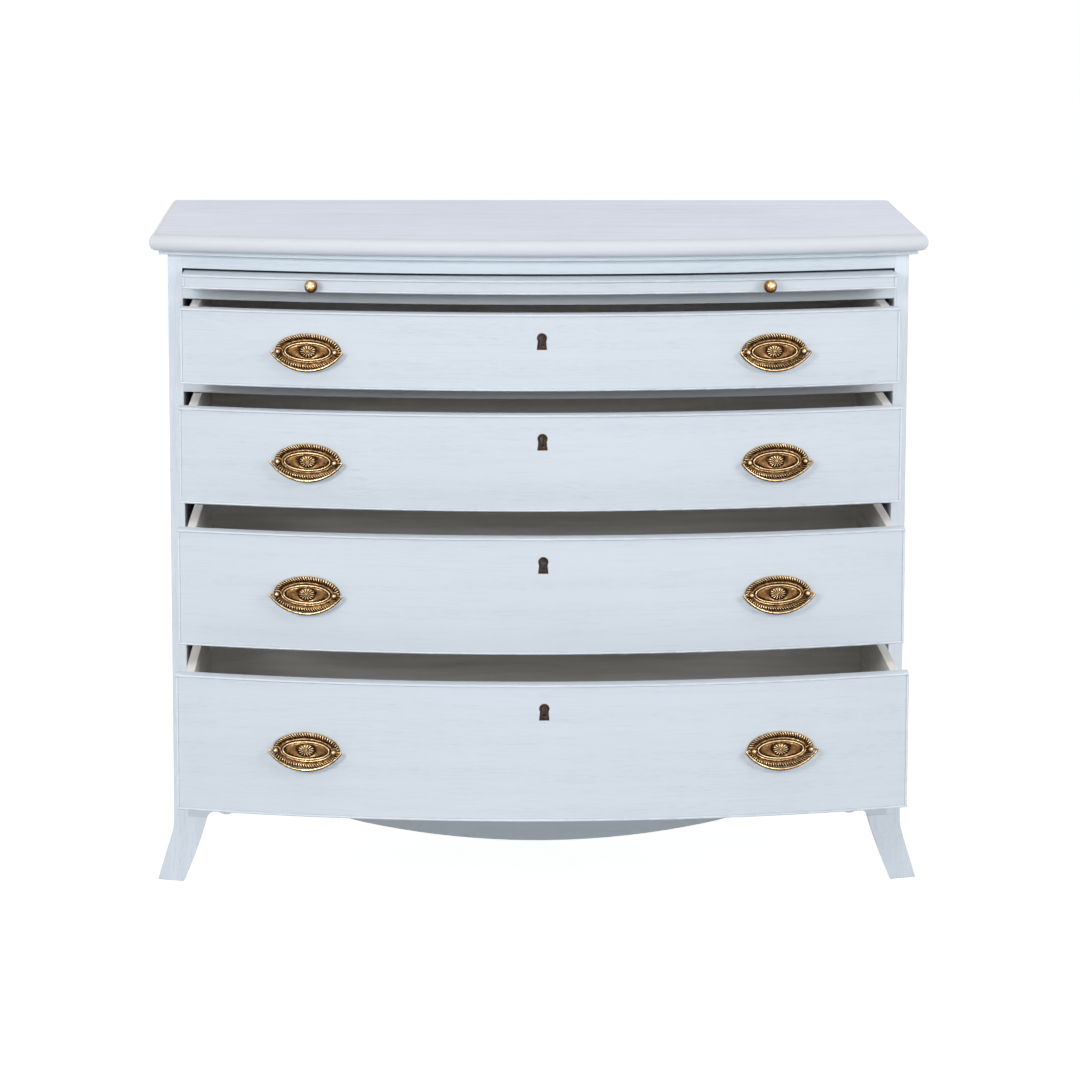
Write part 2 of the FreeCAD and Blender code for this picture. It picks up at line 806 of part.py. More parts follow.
def make_front(name):
    """Bowed drawer front, rebated all round for the cock bead, and bored for its brass."""
    height = f"Sizes.{name}_drawer_height"
    body = bowed_strip(
        f"{name}_front_body",
        f"-{HALF_FRONT}",
        HALF_FRONT,
        "Sizes.bead_depth",
        "Sizes.front_thickness",
        height,
    )
    half_face = f"({HALF_FRONT} - Sizes.bead_width)"
    bowed_strip(
        f"{name}_face",
        f"-{half_face}",
        half_face,
        "0",
        "Sizes.bead_depth",
        f"{height} - 2 * Sizes.bead_width",
        "Sizes.bead_width",
        body,
    )
    recess = make_sketch(body, f"{name}_key_recess", "XZ_Plane", "Sizes.case_bow")
    top = f"({height} - Sizes.keyhole_drop + Sizes.keyhole_height / 2)"
    slot_top = f"({height} - Sizes.keyhole_drop + Sizes.key_slot_height / 2)"
    keyhole_outline(
        recess,
        "Sizes.keyhole_width",
        "Sizes.keyhole_waist",
        "Sizes.keyhole_height",
        top,
        "plate",
        "Sizes.glue_line",
    )
    pocket(body, recess, "Sizes.keyhole_plate + Sizes.glue_line")
    slot = make_sketch(body, f"{name}_key_slot", "XZ_Plane", "Sizes.case_bow")
    keyhole_outline(
        slot,
        "Sizes.key_slot_width",
        "Sizes.key_slot_waist",
        "Sizes.key_slot_height",
        slot_top,
        "slot",
    )
    pocket(body, slot, "Sizes.key_slot_depth")
    for side, sign in SIDES:
        holes = make_sketch(body, f"{name}_{side}_post_holes", "XZ_Plane")
        holes.AttachmentOffset = FreeCAD.Placement(
            FreeCAD.Vector(), FreeCAD.Rotation(FreeCAD.Vector(0, 1, 0), 1)
        )
        bind(
            holes,
            **{
                "AttachmentOffset.Base.x": f"{sign}{HANDLE_X}",
                "AttachmentOffset.Base.y": f"{height} / 2 - Sizes.handle_drop",
                "AttachmentOffset.Base.z": f"-{HANDLE_Y}",
                "AttachmentOffset.Rotation.Angle": f"{sign}{HANDLE_TURN}",
            },
        )
        for place, post in (("near", "-"), ("far", "")):
            add_circle(holes, f"{post}Sizes.post_spacing / 2", "0", POST_HOLE_RADIUS, place)
        pocket(body, holes)
    return body


def make_long_bead(name, half_width):
    """Cock bead for the top or bottom edge of a front that is twice half_width wide."""
    body = bowed_strip(
        f"{name}_long_bead",
        f"-{half_width}",
        half_width,
        "-Sizes.bead_reach",
        "Sizes.bead_depth - Sizes.glue_line",
        "Sizes.bead_width",
    )
    outer = value(f"{BOW_RADIUS} + Sizes.bead_reach")
    fillet(
        body,
        "Sizes.bead_nose_radius",
        lambda edge: hasattr(edge.Curve, "Radius") and abs(edge.Curve.Radius - outer) < TOLERANCE,
    )
    return body


def make_side_bead(name, height, half_width):
    """Upright cock bead at the end of a front, between the two long ones."""
    body = bowed_strip(
        f"{name}_side_bead",
        f"-{half_width}",
        f"-({half_width} - Sizes.bead_width)",
        "-Sizes.bead_reach",
        "Sizes.bead_depth - Sizes.glue_line",
        f"{height} - 2 * Sizes.bead_width",
        "Sizes.bead_width",
    )
    nose = value(bow_at(f"{half_width} - Sizes.bead_width"))
    width = value("Sizes.bead_width")
    fillet(
        body,
        "Sizes.bead_nose_radius",
        lambda edge: edge.BoundBox.ZLength > width and edge.BoundBox.YMax < nose,
    )
    return body


def make_beads(name, height, half_width, long_bead):
    side = make_side_bead(name, height, half_width)
    pieces = [
        copy_of(long_bead, f"{name}_bottom_bead"),
        copy_of(long_bead, f"{name}_top_bead", z=f"{height} - Sizes.bead_width"),
        side,
        mirrored(side, f"{name}_side_bead_twin"),
    ]
    return group(f"{name}_bead_set", pieces)


def make_box_sides(name):
    """Pair of drawer sides, grooved for the bottom. They reach down to the runners."""
    body = make_body(f"{name}_left_box_side")
    drop = "(Sizes.front_clearance - Sizes.running_gap)"
    sketch = make_sketch(body, f"{name}_box_side_plan", "XY_Plane", f"-{drop}")
    inner = f"({HALF_BOX} - Sizes.box_side_thickness)"
    inset = "(Sizes.front_thickness + Sizes.glue_line)"
    add_outline(
        sketch,
        [
            (f"-{HALF_BOX}", bow_at(HALF_BOX, inset), f"{BOW_RADIUS} - {inset}", -1),
            (f"-{inner}", bow_at(inner, inset)),
            (f"-{inner}", BOX_END),
            (f"-{HALF_BOX}", BOX_END),
        ],
    )
    pad(body, sketch, f"Sizes.{name}_drawer_height + {drop}")
    groove = make_sketch(body, f"{name}_groove", "XZ_Plane")
    low = "(Sizes.drawer_bottom_rise - Sizes.glue_line)"
    high = "(Sizes.drawer_bottom_rise + Sizes.drawer_bottom_thickness + Sizes.glue_line)"
    deep = f"-({inner} + Sizes.groove_depth)"
    open_side = f"-({inner} - Sizes.groove_depth)"
    add_outline(groove, [(deep, low), (open_side, low), (open_side, high), (deep, high)])
    pocket(body, groove)
    return group(f"{name}_box_side_pair", [body, mirrored(body, f"{name}_right_box_side")])


def make_box_back(name):
    inner = f"({HALF_BOX} - Sizes.box_side_thickness)"
    end = f"({BOX_END} - Sizes.box_tail)"
    floor = "(Sizes.drawer_bottom_rise + Sizes.drawer_bottom_thickness + Sizes.glue_line)"
    top = f"Sizes.{name}_drawer_height - Sizes.box_back_drop"
    back = board(
        f"{name}_box_back_board",
        (f"-{inner}", inner),
        (f"{end} - Sizes.box_back_thickness", end),
        (floor, top),
    )
    return group(f"{name}_box_back_piece", [back])


def make_drawer_bottom():
    """Drawer bottom, the same for every drawer, with its edges in the side grooves."""
    inner = f"({HALF_BOX} - Sizes.box_side_thickness)"
    half = f"({inner} + Sizes.groove_depth - 2 * Sizes.glue_line)"
    inset = "(Sizes.front_thickness + Sizes.glue_line)"
    end = f"({BOX_END} - Sizes.box_tail)"
    return bowed_board("drawer_bottom_board", half, "Sizes.drawer_bottom_thickness", inset, end)


def make_keyhole_insert():
    """Flat metal insert with a key slot, flush in the front. Its Z = 0 is its middle."""
    body = make_body("keyhole_insert_body")
    sketch = make_sketch(body, "insert_outline", "XZ_Plane", "Sizes.case_bow")
    keyhole_outline(
        sketch,
        "Sizes.keyhole_width",
        "Sizes.keyhole_waist",
        "Sizes.keyhole_height",
        "(Sizes.keyhole_height / 2)",
        "plate",
    )
    keyhole_outline(
        sketch,
        "Sizes.key_slot_width",
        "Sizes.key_slot_waist",
        "Sizes.key_slot_height",
        "(Sizes.key_slot_height / 2)",
        "slot",
    )
    pad(body, sketch, "Sizes.keyhole_plate", reverse=True)
    return body


# ---------------------------------------------------------------- brass

# A handle is drawn about the middle of its plate: X along the plate, the drawer's face at
# Y = 0, and the brass in front of it, towards -Y.


def add_ellipse(sketch, width, height, tag):
    """Upright oval about the sketch's origin."""
    ellipse = Part.Ellipse(FreeCAD.Vector(), value(width) / 2, value(height) / 2)
    curve = sketch.addGeometry(ellipse, False)
    sketch.exposeInternalGeometry(curve)
    long_axis = curve + 1
    short_axis = curve + 2
    sketch.addConstraint(Sketcher.Constraint("Coincident", curve, 3, -1, 1))
    sketch.addConstraint(Sketcher.Constraint("Horizontal", long_axis))
    for line, name, expression in ((long_axis, "wide", width), (short_axis, "high", height)):
        sketch.addConstraint(Sketcher.Constraint("Distance", line, value(expression)))
        sketch.renameConstraint(sketch.ConstraintCount - 1, f"{name}_{tag}")
        sketch.setExpression(f"Constraints.{name}_{tag}", expression)


def make_plate():
    """Oval back plate: a thin sheet, a raised rim and a raised oval field, both hollow
    pressed on the real brass, with a hole for each post."""
    body = make_body("handle_plate")
    sheet_line = make_sketch(body, "plate_sheet", "XZ_Plane", "Sizes.glue_line")
    add_ellipse(sheet_line, "Sizes.plate_width", "Sizes.plate_height", "sheet")
    pad(body, sheet_line, "Sizes.plate_thickness")
    face = "Sizes.glue_line + Sizes.plate_thickness"
    rim = make_sketch(body, "plate_rim", "XZ_Plane", face)
    add_ellipse(rim, "Sizes.plate_width", "Sizes.plate_height", "rim")
    add_ellipse(
        rim,
        "Sizes.plate_width - 2 * Sizes.plate_rim_width",
        "Sizes.plate_height - 2 * Sizes.plate_rim_width",
        "well",
    )
    pad(body, rim, "Sizes.plate_rim_height")
    field = make_sketch(body, "plate_field", "XZ_Plane", face)
    add_ellipse(field, "Sizes.plate_band_width", "Sizes.plate_band_height", "field")
    pad(body, field, "Sizes.plate_rim_height")
    above = f"{face} + Sizes.plate_rim_height + Sizes.cut_overshoot"
    holes = make_sketch(body, "plate_holes", "XZ_Plane", above)
    for place, post in (("near", "-"), ("far", "")):
        add_circle(holes, f"{post}Sizes.post_spacing / 2", "0", POST_HOLE_RADIUS, place)
    pocket(body, holes)
    return body


def make_post():
    """Turned post: a shank through the front, a collar on the plate's rim and a ball,
    cross bored for the pin of the bail."""
    body = make_body("handle_post")
    sketch = make_sketch(body, "post_profile", "XY_Plane")
    neck = "(Sizes.post_neck / 2)"
    ball = "(Sizes.post_ball / 2)"
    shank_end = f"({NUT_SEAT} + Sizes.nut_height + Sizes.post_tail)"
    collar_back = "-(2 * Sizes.glue_line + Sizes.plate_thickness + Sizes.plate_rim_height)"
    collar_front = f"({collar_back} - Sizes.post_collar_height)"
    ball_back = f"(-Sizes.post_reach + sqrt({ball}^2 - {neck}^2))"
    add_outline(
        sketch,
        [
            ("0", shank_end),
            ("0", f"-Sizes.post_reach - {ball}", f"{ball}", -1),
            (ball, "-Sizes.post_reach", f"{ball}", -1),
            (neck, ball_back),
            (neck, collar_front),
            ("Sizes.post_collar / 2", collar_front),
            ("Sizes.post_collar / 2", collar_back),
            (neck, collar_back),
            (neck, shank_end),
        ],
    )
    revolve(body, sketch)
    bore = make_sketch(body, "post_bore", "YZ_Plane")
    pivot = "(Sizes.pin_diameter / 2 + Sizes.pivot_clearance)"
    add_circle(bore, "-Sizes.post_reach", "0", pivot, "pin")
    pocket(body, bore, "2 * Sizes.post_ball", midplane=True)
    return body


def make_nut():
    """Round nut on the inside of the drawer front."""
    body = make_body("post_nut")
    sketch = make_sketch(body, "nut_outline", "XZ_Plane", f"-{NUT_SEAT}")
    add_circle(sketch, "0", "0", "Sizes.nut_width / 2", "rim")
    add_circle(sketch, "0", "0", "Sizes.post_neck / 2 + Sizes.glue_line", "bore")
    pad(body, sketch, "Sizes.nut_height", reverse=True)
    return body


def make_bail():
    """Drop bail: a round bow between two points, with a pin turned in at each end."""
    swing = f"asin({BAIL_HALF} / {BAIL_RADIUS})"
    bow = doc.addObject("Part::Torus", "bail_bow")
    bind(
        bow,
        Radius1=BAIL_RADIUS,
        Radius2="Sizes.bail_diameter / 2",
        Angle3=f"2 * {swing}",
    )
    # the torus is made about Z from +X; it is stood up and turned so that it hangs evenly
    turn = FreeCAD.Rotation(FreeCAD.Vector(1, 0, 0), 90)
    bow.Placement.Rotation = turn
    hung = doc.addObject("Part::Compound", "bail_bow_hung")
    hung.Links = [bow]
    hung.Placement.Rotation = FreeCAD.Rotation(FreeCAD.Vector(0, 1, 0), 1)
    hung.setExpression("Placement.Rotation.Angle", f"90 deg + {swing}")
    seat(hung, z=f"{BAIL_RADIUS} - Sizes.bail_drop")
    parts = [hung]
    for side, sign in SIDES:
        point = doc.addObject("Part::Sphere", f"bail_{side}_point")
        bind(point, Radius="Sizes.bail_diameter / 2")
        seat(point, x=f"{sign}{BAIL_HALF}")
        pin = doc.addObject("Part::Cylinder", f"bail_{side}_pin")
        inner = "(Sizes.post_spacing / 2 - Sizes.pin_grip)"
        bind(pin, Radius="Sizes.pin_diameter / 2", Height=f"{BAIL_HALF} - {inner}")
        pin.Placement.Rotation = FreeCAD.Rotation(FreeCAD.Vector(0, 1, 0), 90)
        seat(pin, x=inner if side == "right" else f"-{BAIL_HALF}")
        parts += [point, pin]
    bail = doc.addObject("Part::MultiFuse", "bail")
    bail.Shapes = parts
    return bail


def make_handle_parts():
    return {"plate": make_plate(), "post": make_post(), "nut": make_nut(), "bail": make_bail()}


# ---------------------------------------------------------------- whole drawers


def seat_in_drawer(thing, name, label, z="0"):
    """Set a piece of a drawer at its level, pulled out to its rest opening."""
    seat(thing, y=f"{CASE_FRONT} - Sizes.{name}_drawer_open", z=f"{LEVEL[name]} + {z}")
    node(thing, label)


def handle_copy(source, name, sign, along="0", out="0"):
    """Copy of a brass piece at one handle, moved along the plate and out from the face."""
    turn = f"{sign}{HANDLE_TURN}"
    x = f"{sign}{HANDLE_X} + ({along}) * cos({turn}) + ({out}) * sin({turn})"
    y = f"{HANDLE_Y} + ({along}) * sin({turn}) - ({out}) * cos({turn})"
    return copy_of(source, name, x, y, turn=turn)


def make_drawer(name, brass, long_bead, bottom, insert):
    height = f"Sizes.{name}_drawer_height"
    handle_level = f"({height} / 2 - Sizes.handle_drop)"
    title = f"{name}_drawer"
    seat_in_drawer(make_front(name), name, f"{title}_front")
    beads = make_beads(name, height, HALF_FRONT, long_bead)
    seat_in_drawer(beads, name, f"{title}_cock_beads")
    seat_in_drawer(make_box_sides(name), name, f"{title}_sides")
    seat_in_drawer(make_box_back(name), name, f"{title}_back")
    bottom_piece = group(f"{name}_bottom_piece", [copy_of(bottom, f"{name}_bottom_copy")])
    seat_in_drawer(bottom_piece, name, f"{title}_bottom", "Sizes.drawer_bottom_rise")
    insert_piece = group(f"{name}_insert_piece", [copy_of(insert, f"{name}_insert_copy")])
    seat_in_drawer(insert_piece, name, f"{title}_keyhole", f"{height} - Sizes.keyhole_drop")
    plates = []
    posts = []
    for side, sign in SIDES:
        plates.append(handle_copy(brass["plate"], f"{name}_{side}_plate", sign))
        for place, post in (("near", "-"), ("far", "")):
            along = f"{post}Sizes.post_spacing / 2"
            tag = f"{name}_{side}_{place}"
            posts.append(handle_copy(brass["post"], f"{tag}_post", sign, along))
            posts.append(handle_copy(brass["nut"], f"{tag}_nut", sign, along))
        bail_name = f"{name}_{side}_bail_copy"
        bail_copy = handle_copy(brass["bail"], bail_name, sign, out="Sizes.post_reach")
        bail = group(f"{name}_{side}_bail_piece", [bail_copy])
        seat_in_drawer(bail, name, f"{title}_{side}_bail", handle_level)
    plate_pair = group(f"{name}_plates", plates)
    seat_in_drawer(plate_pair, name, f"{title}_handle_plates", handle_level)
    seat_in_drawer(group(f"{name}_posts", posts), name, f"{title}_handle_posts", handle_level)


def make_brushing_slide():
    """Brushing slide: a board with a beaded front edge and two ball knobs."""
    height = "Sizes.slide_height"
    body = bowed_board("slide_board_body", HALF_SLIDE, height, "Sizes.bead_depth", BOX_END)
    half_face = f"({HALF_SLIDE} - Sizes.bead_width)"
    bowed_strip(
        "slide_face",
        f"-{half_face}",
        half_face,
        "0",
        "Sizes.bead_depth",
        f"{height} - 2 * Sizes.bead_width",
        "Sizes.bead_width",
        body,
    )
    knob_x = "(Sizes.knob_spacing / 2)"
    knob_y = bow_at(knob_x)
    knob_turn = f"asin({knob_x} / {BOW_RADIUS})"
    for side, sign in SIDES:
        hole = make_sketch(body, f"{side}_knob_hole", "XZ_Plane")
        hole.AttachmentOffset = FreeCAD.Placement(
            FreeCAD.Vector(), FreeCAD.Rotation(FreeCAD.Vector(0, 1, 0), 1)
        )
        bind(
            hole,
            **{
                "AttachmentOffset.Base.x": f"{sign}{knob_x}",
                "AttachmentOffset.Base.y": f"{height} / 2",
                "AttachmentOffset.Base.z": f"-{knob_y}",
                "AttachmentOffset.Rotation.Angle": f"{sign}{knob_turn}",
            },
        )
        add_circle(hole, "0", "0", "Sizes.knob_screw / 2 + Sizes.glue_line", "screw")
        pocket(body, hole, "2 * (Sizes.knob_screw_length + Sizes.cut_overshoot)", midplane=True)
    beads = make_beads("slide", height, HALF_SLIDE, make_long_bead("slide", HALF_SLIDE))
    knob = make_knob()
    knobs = []
    for side, sign in SIDES:
        turn = f"{sign}{knob_turn}"
        knobs.append(copy_of(knob, f"{side}_knob", f"{sign}{knob_x}", knob_y, turn=turn))
    knob_pair = group("knob_pair", knobs)
    for thing, label, lift in (
        (body, "slide_board", "0"),
        (beads, "slide_cock_beads", "0"),
        (knob_pair, "slide_knobs", f"{height} / 2"),
    ):
        seat(thing, y=f"{CASE_FRONT} - Sizes.slide_open", z=f"{LEVEL['slide']} + {lift}")
        node(thing, label)


def make_knob():
    """Turned ball knob on a collar, with a screw into the slide."""
    body = make_body("ball_knob")
    sketch = make_sketch(body, "knob_profile", "XY_Plane")
    ball = "(Sizes.knob_ball / 2)"
    neck = "(Sizes.knob_neck / 2)"
    collar = "(Sizes.knob_collar / 2)"
    screw = "(Sizes.knob_screw / 2)"
    seat_line = "-Sizes.glue_line"
    collar_front = f"({seat_line} - Sizes.knob_collar_height)"
    ball_back = f"(-Sizes.knob_reach + sqrt({ball}^2 - {neck}^2))"
    add_outline(
        sketch,
        [
            ("0", "Sizes.knob_screw_length"),
            ("0", f"-Sizes.knob_reach - {ball}", f"{ball}", -1),
            (ball, "-Sizes.knob_reach", f"{ball}", -1),
            (neck, ball_back),
            (neck, collar_front),
            (collar, collar_front),
            (collar, seat_line),
            (screw, seat_line),
            (screw, "Sizes.knob_screw_length"),
        ],
    )
    revolve(body, sketch)
    return body


# ---------------------------------------------------------------- build, check and write


def build():
    make_top()
    make_top_moulding()
    make_sides()
    make_back_panel()
    make_rails()
    make_bottom_board()
    make_apron()
    make_feet()
    make_corner_blocks()
    make_runners()
    make_slide_bearers()
    make_drawer_stops()
    brass = make_handle_parts()
    long_bead = make_long_bead("drawer", HALF_FRONT)
    bottom = make_drawer_bottom()
    insert = make_keyhole_insert()
    for name in DRAWERS:
        make_drawer(name, brass, long_bead, bottom, insert)
    make_brushing_slide()
    doc.recompute()


def check():
    """Stop on any failed object, and on any empty or invalid sub-part."""
    for thing in doc.Objects:
        if "Invalid" in thing.State or "Error" in thing.State:
            raise RuntimeError(f"{thing.Name} failed: {thing.State}")
    for thing in nodes:
        if thing.Shape.isNull() or not thing.Shape.isValid() or not thing.Shape.Solids:
            raise RuntimeError(f"{thing.Label} has no valid shape")


def write():
    os.makedirs("parts", exist_ok=True)
    for thing in nodes:
        thing.Shape.exportStep(f"parts/{thing.Label}.step")
        box = thing.Shape.optimalBoundingBox()
        print(
            f"{thing.Label}: {len(thing.Shape.Solids)} solids, {thing.Shape.Volume / 1000:.1f} cm3, "
            f"x {box.XMin:.1f}..{box.XMax:.1f} y {box.YMin:.1f}..{box.YMax:.1f} "
            f"z {box.ZMin:.1f}..{box.ZMax:.1f}"
        )


build()
check()
write()
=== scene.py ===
"""Looks of a bow front chest of drawers: painted open-grain oak, limed drawer boxes and aged brass.

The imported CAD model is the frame. The boards keep their CAD shape and get a painted or limed oak
finish, except the top board, which is made here as one smooth surface of the same size. The brass
is made here too: pressed oval plates with a reeded rim and a rosette, drop bails, turned posts
and ball knobs. Every length is in metres unless a name ends in _mm or its class says millimetres.
"""

import json
import logging
import math
from collections.abc import Mapping, Sequence
from dataclasses import dataclass
from enum import Enum
from typing import Any

import bpy
import numpy as np
from mathutils import Matrix, Vector

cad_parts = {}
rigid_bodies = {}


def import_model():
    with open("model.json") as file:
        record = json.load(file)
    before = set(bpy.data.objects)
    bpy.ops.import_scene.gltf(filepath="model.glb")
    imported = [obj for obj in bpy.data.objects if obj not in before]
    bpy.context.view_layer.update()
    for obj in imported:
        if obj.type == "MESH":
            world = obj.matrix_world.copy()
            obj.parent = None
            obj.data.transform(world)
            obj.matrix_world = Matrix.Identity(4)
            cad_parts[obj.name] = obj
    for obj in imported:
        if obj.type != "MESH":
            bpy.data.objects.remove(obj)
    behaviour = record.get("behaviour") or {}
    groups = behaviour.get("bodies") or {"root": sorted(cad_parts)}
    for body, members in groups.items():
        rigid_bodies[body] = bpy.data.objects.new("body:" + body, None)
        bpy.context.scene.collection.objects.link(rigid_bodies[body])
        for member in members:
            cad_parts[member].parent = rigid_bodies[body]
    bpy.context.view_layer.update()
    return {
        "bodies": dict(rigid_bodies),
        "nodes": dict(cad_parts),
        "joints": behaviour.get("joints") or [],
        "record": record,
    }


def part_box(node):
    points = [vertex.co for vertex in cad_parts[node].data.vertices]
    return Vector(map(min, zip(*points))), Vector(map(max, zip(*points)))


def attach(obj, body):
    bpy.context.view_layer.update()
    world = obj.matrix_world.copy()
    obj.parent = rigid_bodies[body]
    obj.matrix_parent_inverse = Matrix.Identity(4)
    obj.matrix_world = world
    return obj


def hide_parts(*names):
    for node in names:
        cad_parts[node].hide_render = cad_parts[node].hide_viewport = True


LOG = logging.getLogger("bow_front_chest")
MM = 0.001
DRAWERS = ("top", "second", "third", "bottom")
SIDES = ("left", "right")
SHADER_RAYS = 6  # that each Bevel and Ambient Occlusion node sends
SAME_PLACE = 1e-9  # points nearer than this are one
SHARP_DEGREES = 38  # a sharper fold shades as an edge
DARK = 0.95  # patina of brass in a hollow that nothing rubs

# ---------------------------------------------------------------- colour and nodes


def linear(code: str, strength: float = 1.0) -> tuple[float, float, float, float]:
    """Turns an sRGB hex colour to linear light.

    Args:
        code: six hex digits after a hash sign.
        strength: factor on the result.

    Returns:
        Red, green, blue and an alpha of 1.
    """
    channels = np.array([int(code[i : i + 2], 16) for i in (1, 3, 5)]) / 255
    light = np.where(channels <= 0.04045, channels / 12.92, ((channels + 0.055) / 1.055) ** 2.4)
    return (*(float(part) * strength for part in light), 1.0)


def add_node(
    tree: bpy.types.NodeTree, kind: str, inputs: Mapping[str | int, Any] | None = None, **settings: Any
) -> bpy.types.Node:
    """Adds a node with its settings and links.

    Args:
        tree: node tree to add to.
        kind: node type, without the ShaderNode prefix.
        inputs: a value, or the output socket to link from, for each input name or index.
        settings: properties of the node.

    Returns:
        The new node.
    """
    node = tree.nodes.new(f"ShaderNode{kind}")
    for name, setting in settings.items():
        setattr(node, name, setting)
    for key, source in (inputs or {}).items():
        if isinstance(source, bpy.types.NodeSocket):
            tree.links.new(source, node.inputs[key])
        else:
            node.inputs[key].default_value = source
    return node


class Recipe:
    """A material under construction, with the steps that the finishes share."""

    def __init__(self, name: str) -> None:
        """Starts a material with an empty node tree.

        Args:
            name: name of the material.
        """
        self.material = bpy.data.materials.new(name)
        self.material.use_nodes = True
        self.tree = self.material.node_tree
        self.tree.nodes.clear()
        self.place = self.add("TexCoord", out="Object")

    def add(
        self, kind: str, inputs: Mapping[str | int, Any] | None = None, out: str | int = 0, **settings: Any
    ) -> bpy.types.NodeSocket:
        """Adds a node as add_node does, and gives one of its outputs."""
        return add_node(self.tree, kind, inputs, **settings).outputs[out]

    def pattern(self, size_mm: float, detail: float, stretch: Vector, place: Any = None) -> Any:
        """Noise whose blotches are about size_mm across, drawn out along each axis by stretch.

        Args:
            size_mm: width of one blotch in millimetres.
            detail: octaves of finer noise.
            stretch: scale of each axis, 1 for none and less than 1 for long blotches.
            place: coordinates to read, the object's own if left out.

        Returns:
            The noise, from 0 to 1.
        """
        where = self.add("Mapping", {"Vector": place or self.place, "Scale": stretch})
        return self.add("TexNoise", {"Vector": where, "Scale": 1 / (size_mm * MM), "Detail": detail})

    def wandering(self, far_mm: float, across_mm: float) -> Any:
        """The object's own coordinates, led astray by noise.

        Args:
            far_mm: furthest that a place is moved.
            across_mm: length over which the drift changes.

        Returns:
            The coordinates.
        """
        settings = {"Vector": self.place, "Scale": 1 / (across_mm * MM), "Detail": 1.0}
        drift = self.add("TexNoise", settings, out="Color")
        shift = self.add("VectorMath", {0: drift, "Scale": far_mm * MM}, operation="SCALE")
        return self.add("VectorMath", {0: self.place, 1: shift})

    def layer(self, base: Any, over: Any, value: Any, reach: tuple[float, float], most: Any = 1.0) -> Any:
        """Lays one colour over another where a value says so.

        Args:
            base: colour below.
            over: colour on top.
            value: socket that decides.
            reach: the two values between which the cover goes from none to most.
            most: cover at the second of them, a number or a socket.

        Returns:
            The blended colour.
        """
        cover = self.add("MapRange", {0: value, 1: reach[0], 2: reach[1], 4: most})
        return self.add("Mix", {0: cover, 6: base, 7: over}, out=2, data_type="RGBA")

    def edge_mask(self, radius_mm: float, flat: float = 0.98, full: float = 0.80) -> Any:
        """Finds edges by how far the eased normal leans from the true one: their dot product.

        Args:
            radius_mm: distance from an edge that counts.
            flat: dot product at which the mask starts.
            full: dot product at which it is 1.

        Returns:
            0 on flat parts and up to 1 at edges.
        """
        true_normal = self.add("NewGeometry", out="Normal")
        eased = self.add("Bevel", {"Radius": radius_mm * MM}, samples=SHADER_RAYS)
        lean = self.add("VectorMath", {0: eased, 1: true_normal}, out="Value", operation="DOT_PRODUCT")
        return self.add("MapRange", {0: lean, 1: flat, 2: full})

    def relief(self, height: Any, depth_mm: float, ease_mm: float) -> Any:
        """Normal of a relief of depth_mm on the surface, whose edges are eased by ease_mm."""
        eased = self.add("Bevel", {"Radius": ease_mm * MM}, samples=SHADER_RAYS)
        return self.add("Bump", {"Height": height, "Distance": depth_mm * MM, "Normal": eased})

    def finish(self, inputs: Mapping[str, Any]) -> bpy.types.Material:
        """Closes the tree with a Principled shader that has these inputs."""
        add_node(self.tree, "OutputMaterial", {"Surface": self.add("BsdfPrincipled", inputs)})
        return self.material


# ---------------------------------------------------------------- finishes


class Grain(Enum):
    """Way that the grain runs: the scale of each axis in the grain's patterns."""

    ACROSS = (0.03, 1.0, 1.0)
    BOWED = (0.03, 0.03, 1.0)
    UPRIGHT = (1.0, 1.0, 0.03)
    DEEP = (1.0, 0.03, 1.0)

    @property
    def stretch(self) -> Vector:
        """The three scales as a vector."""
        return Vector(self.value)


EVEN = Vector((1.0, 1.0, 1.0))


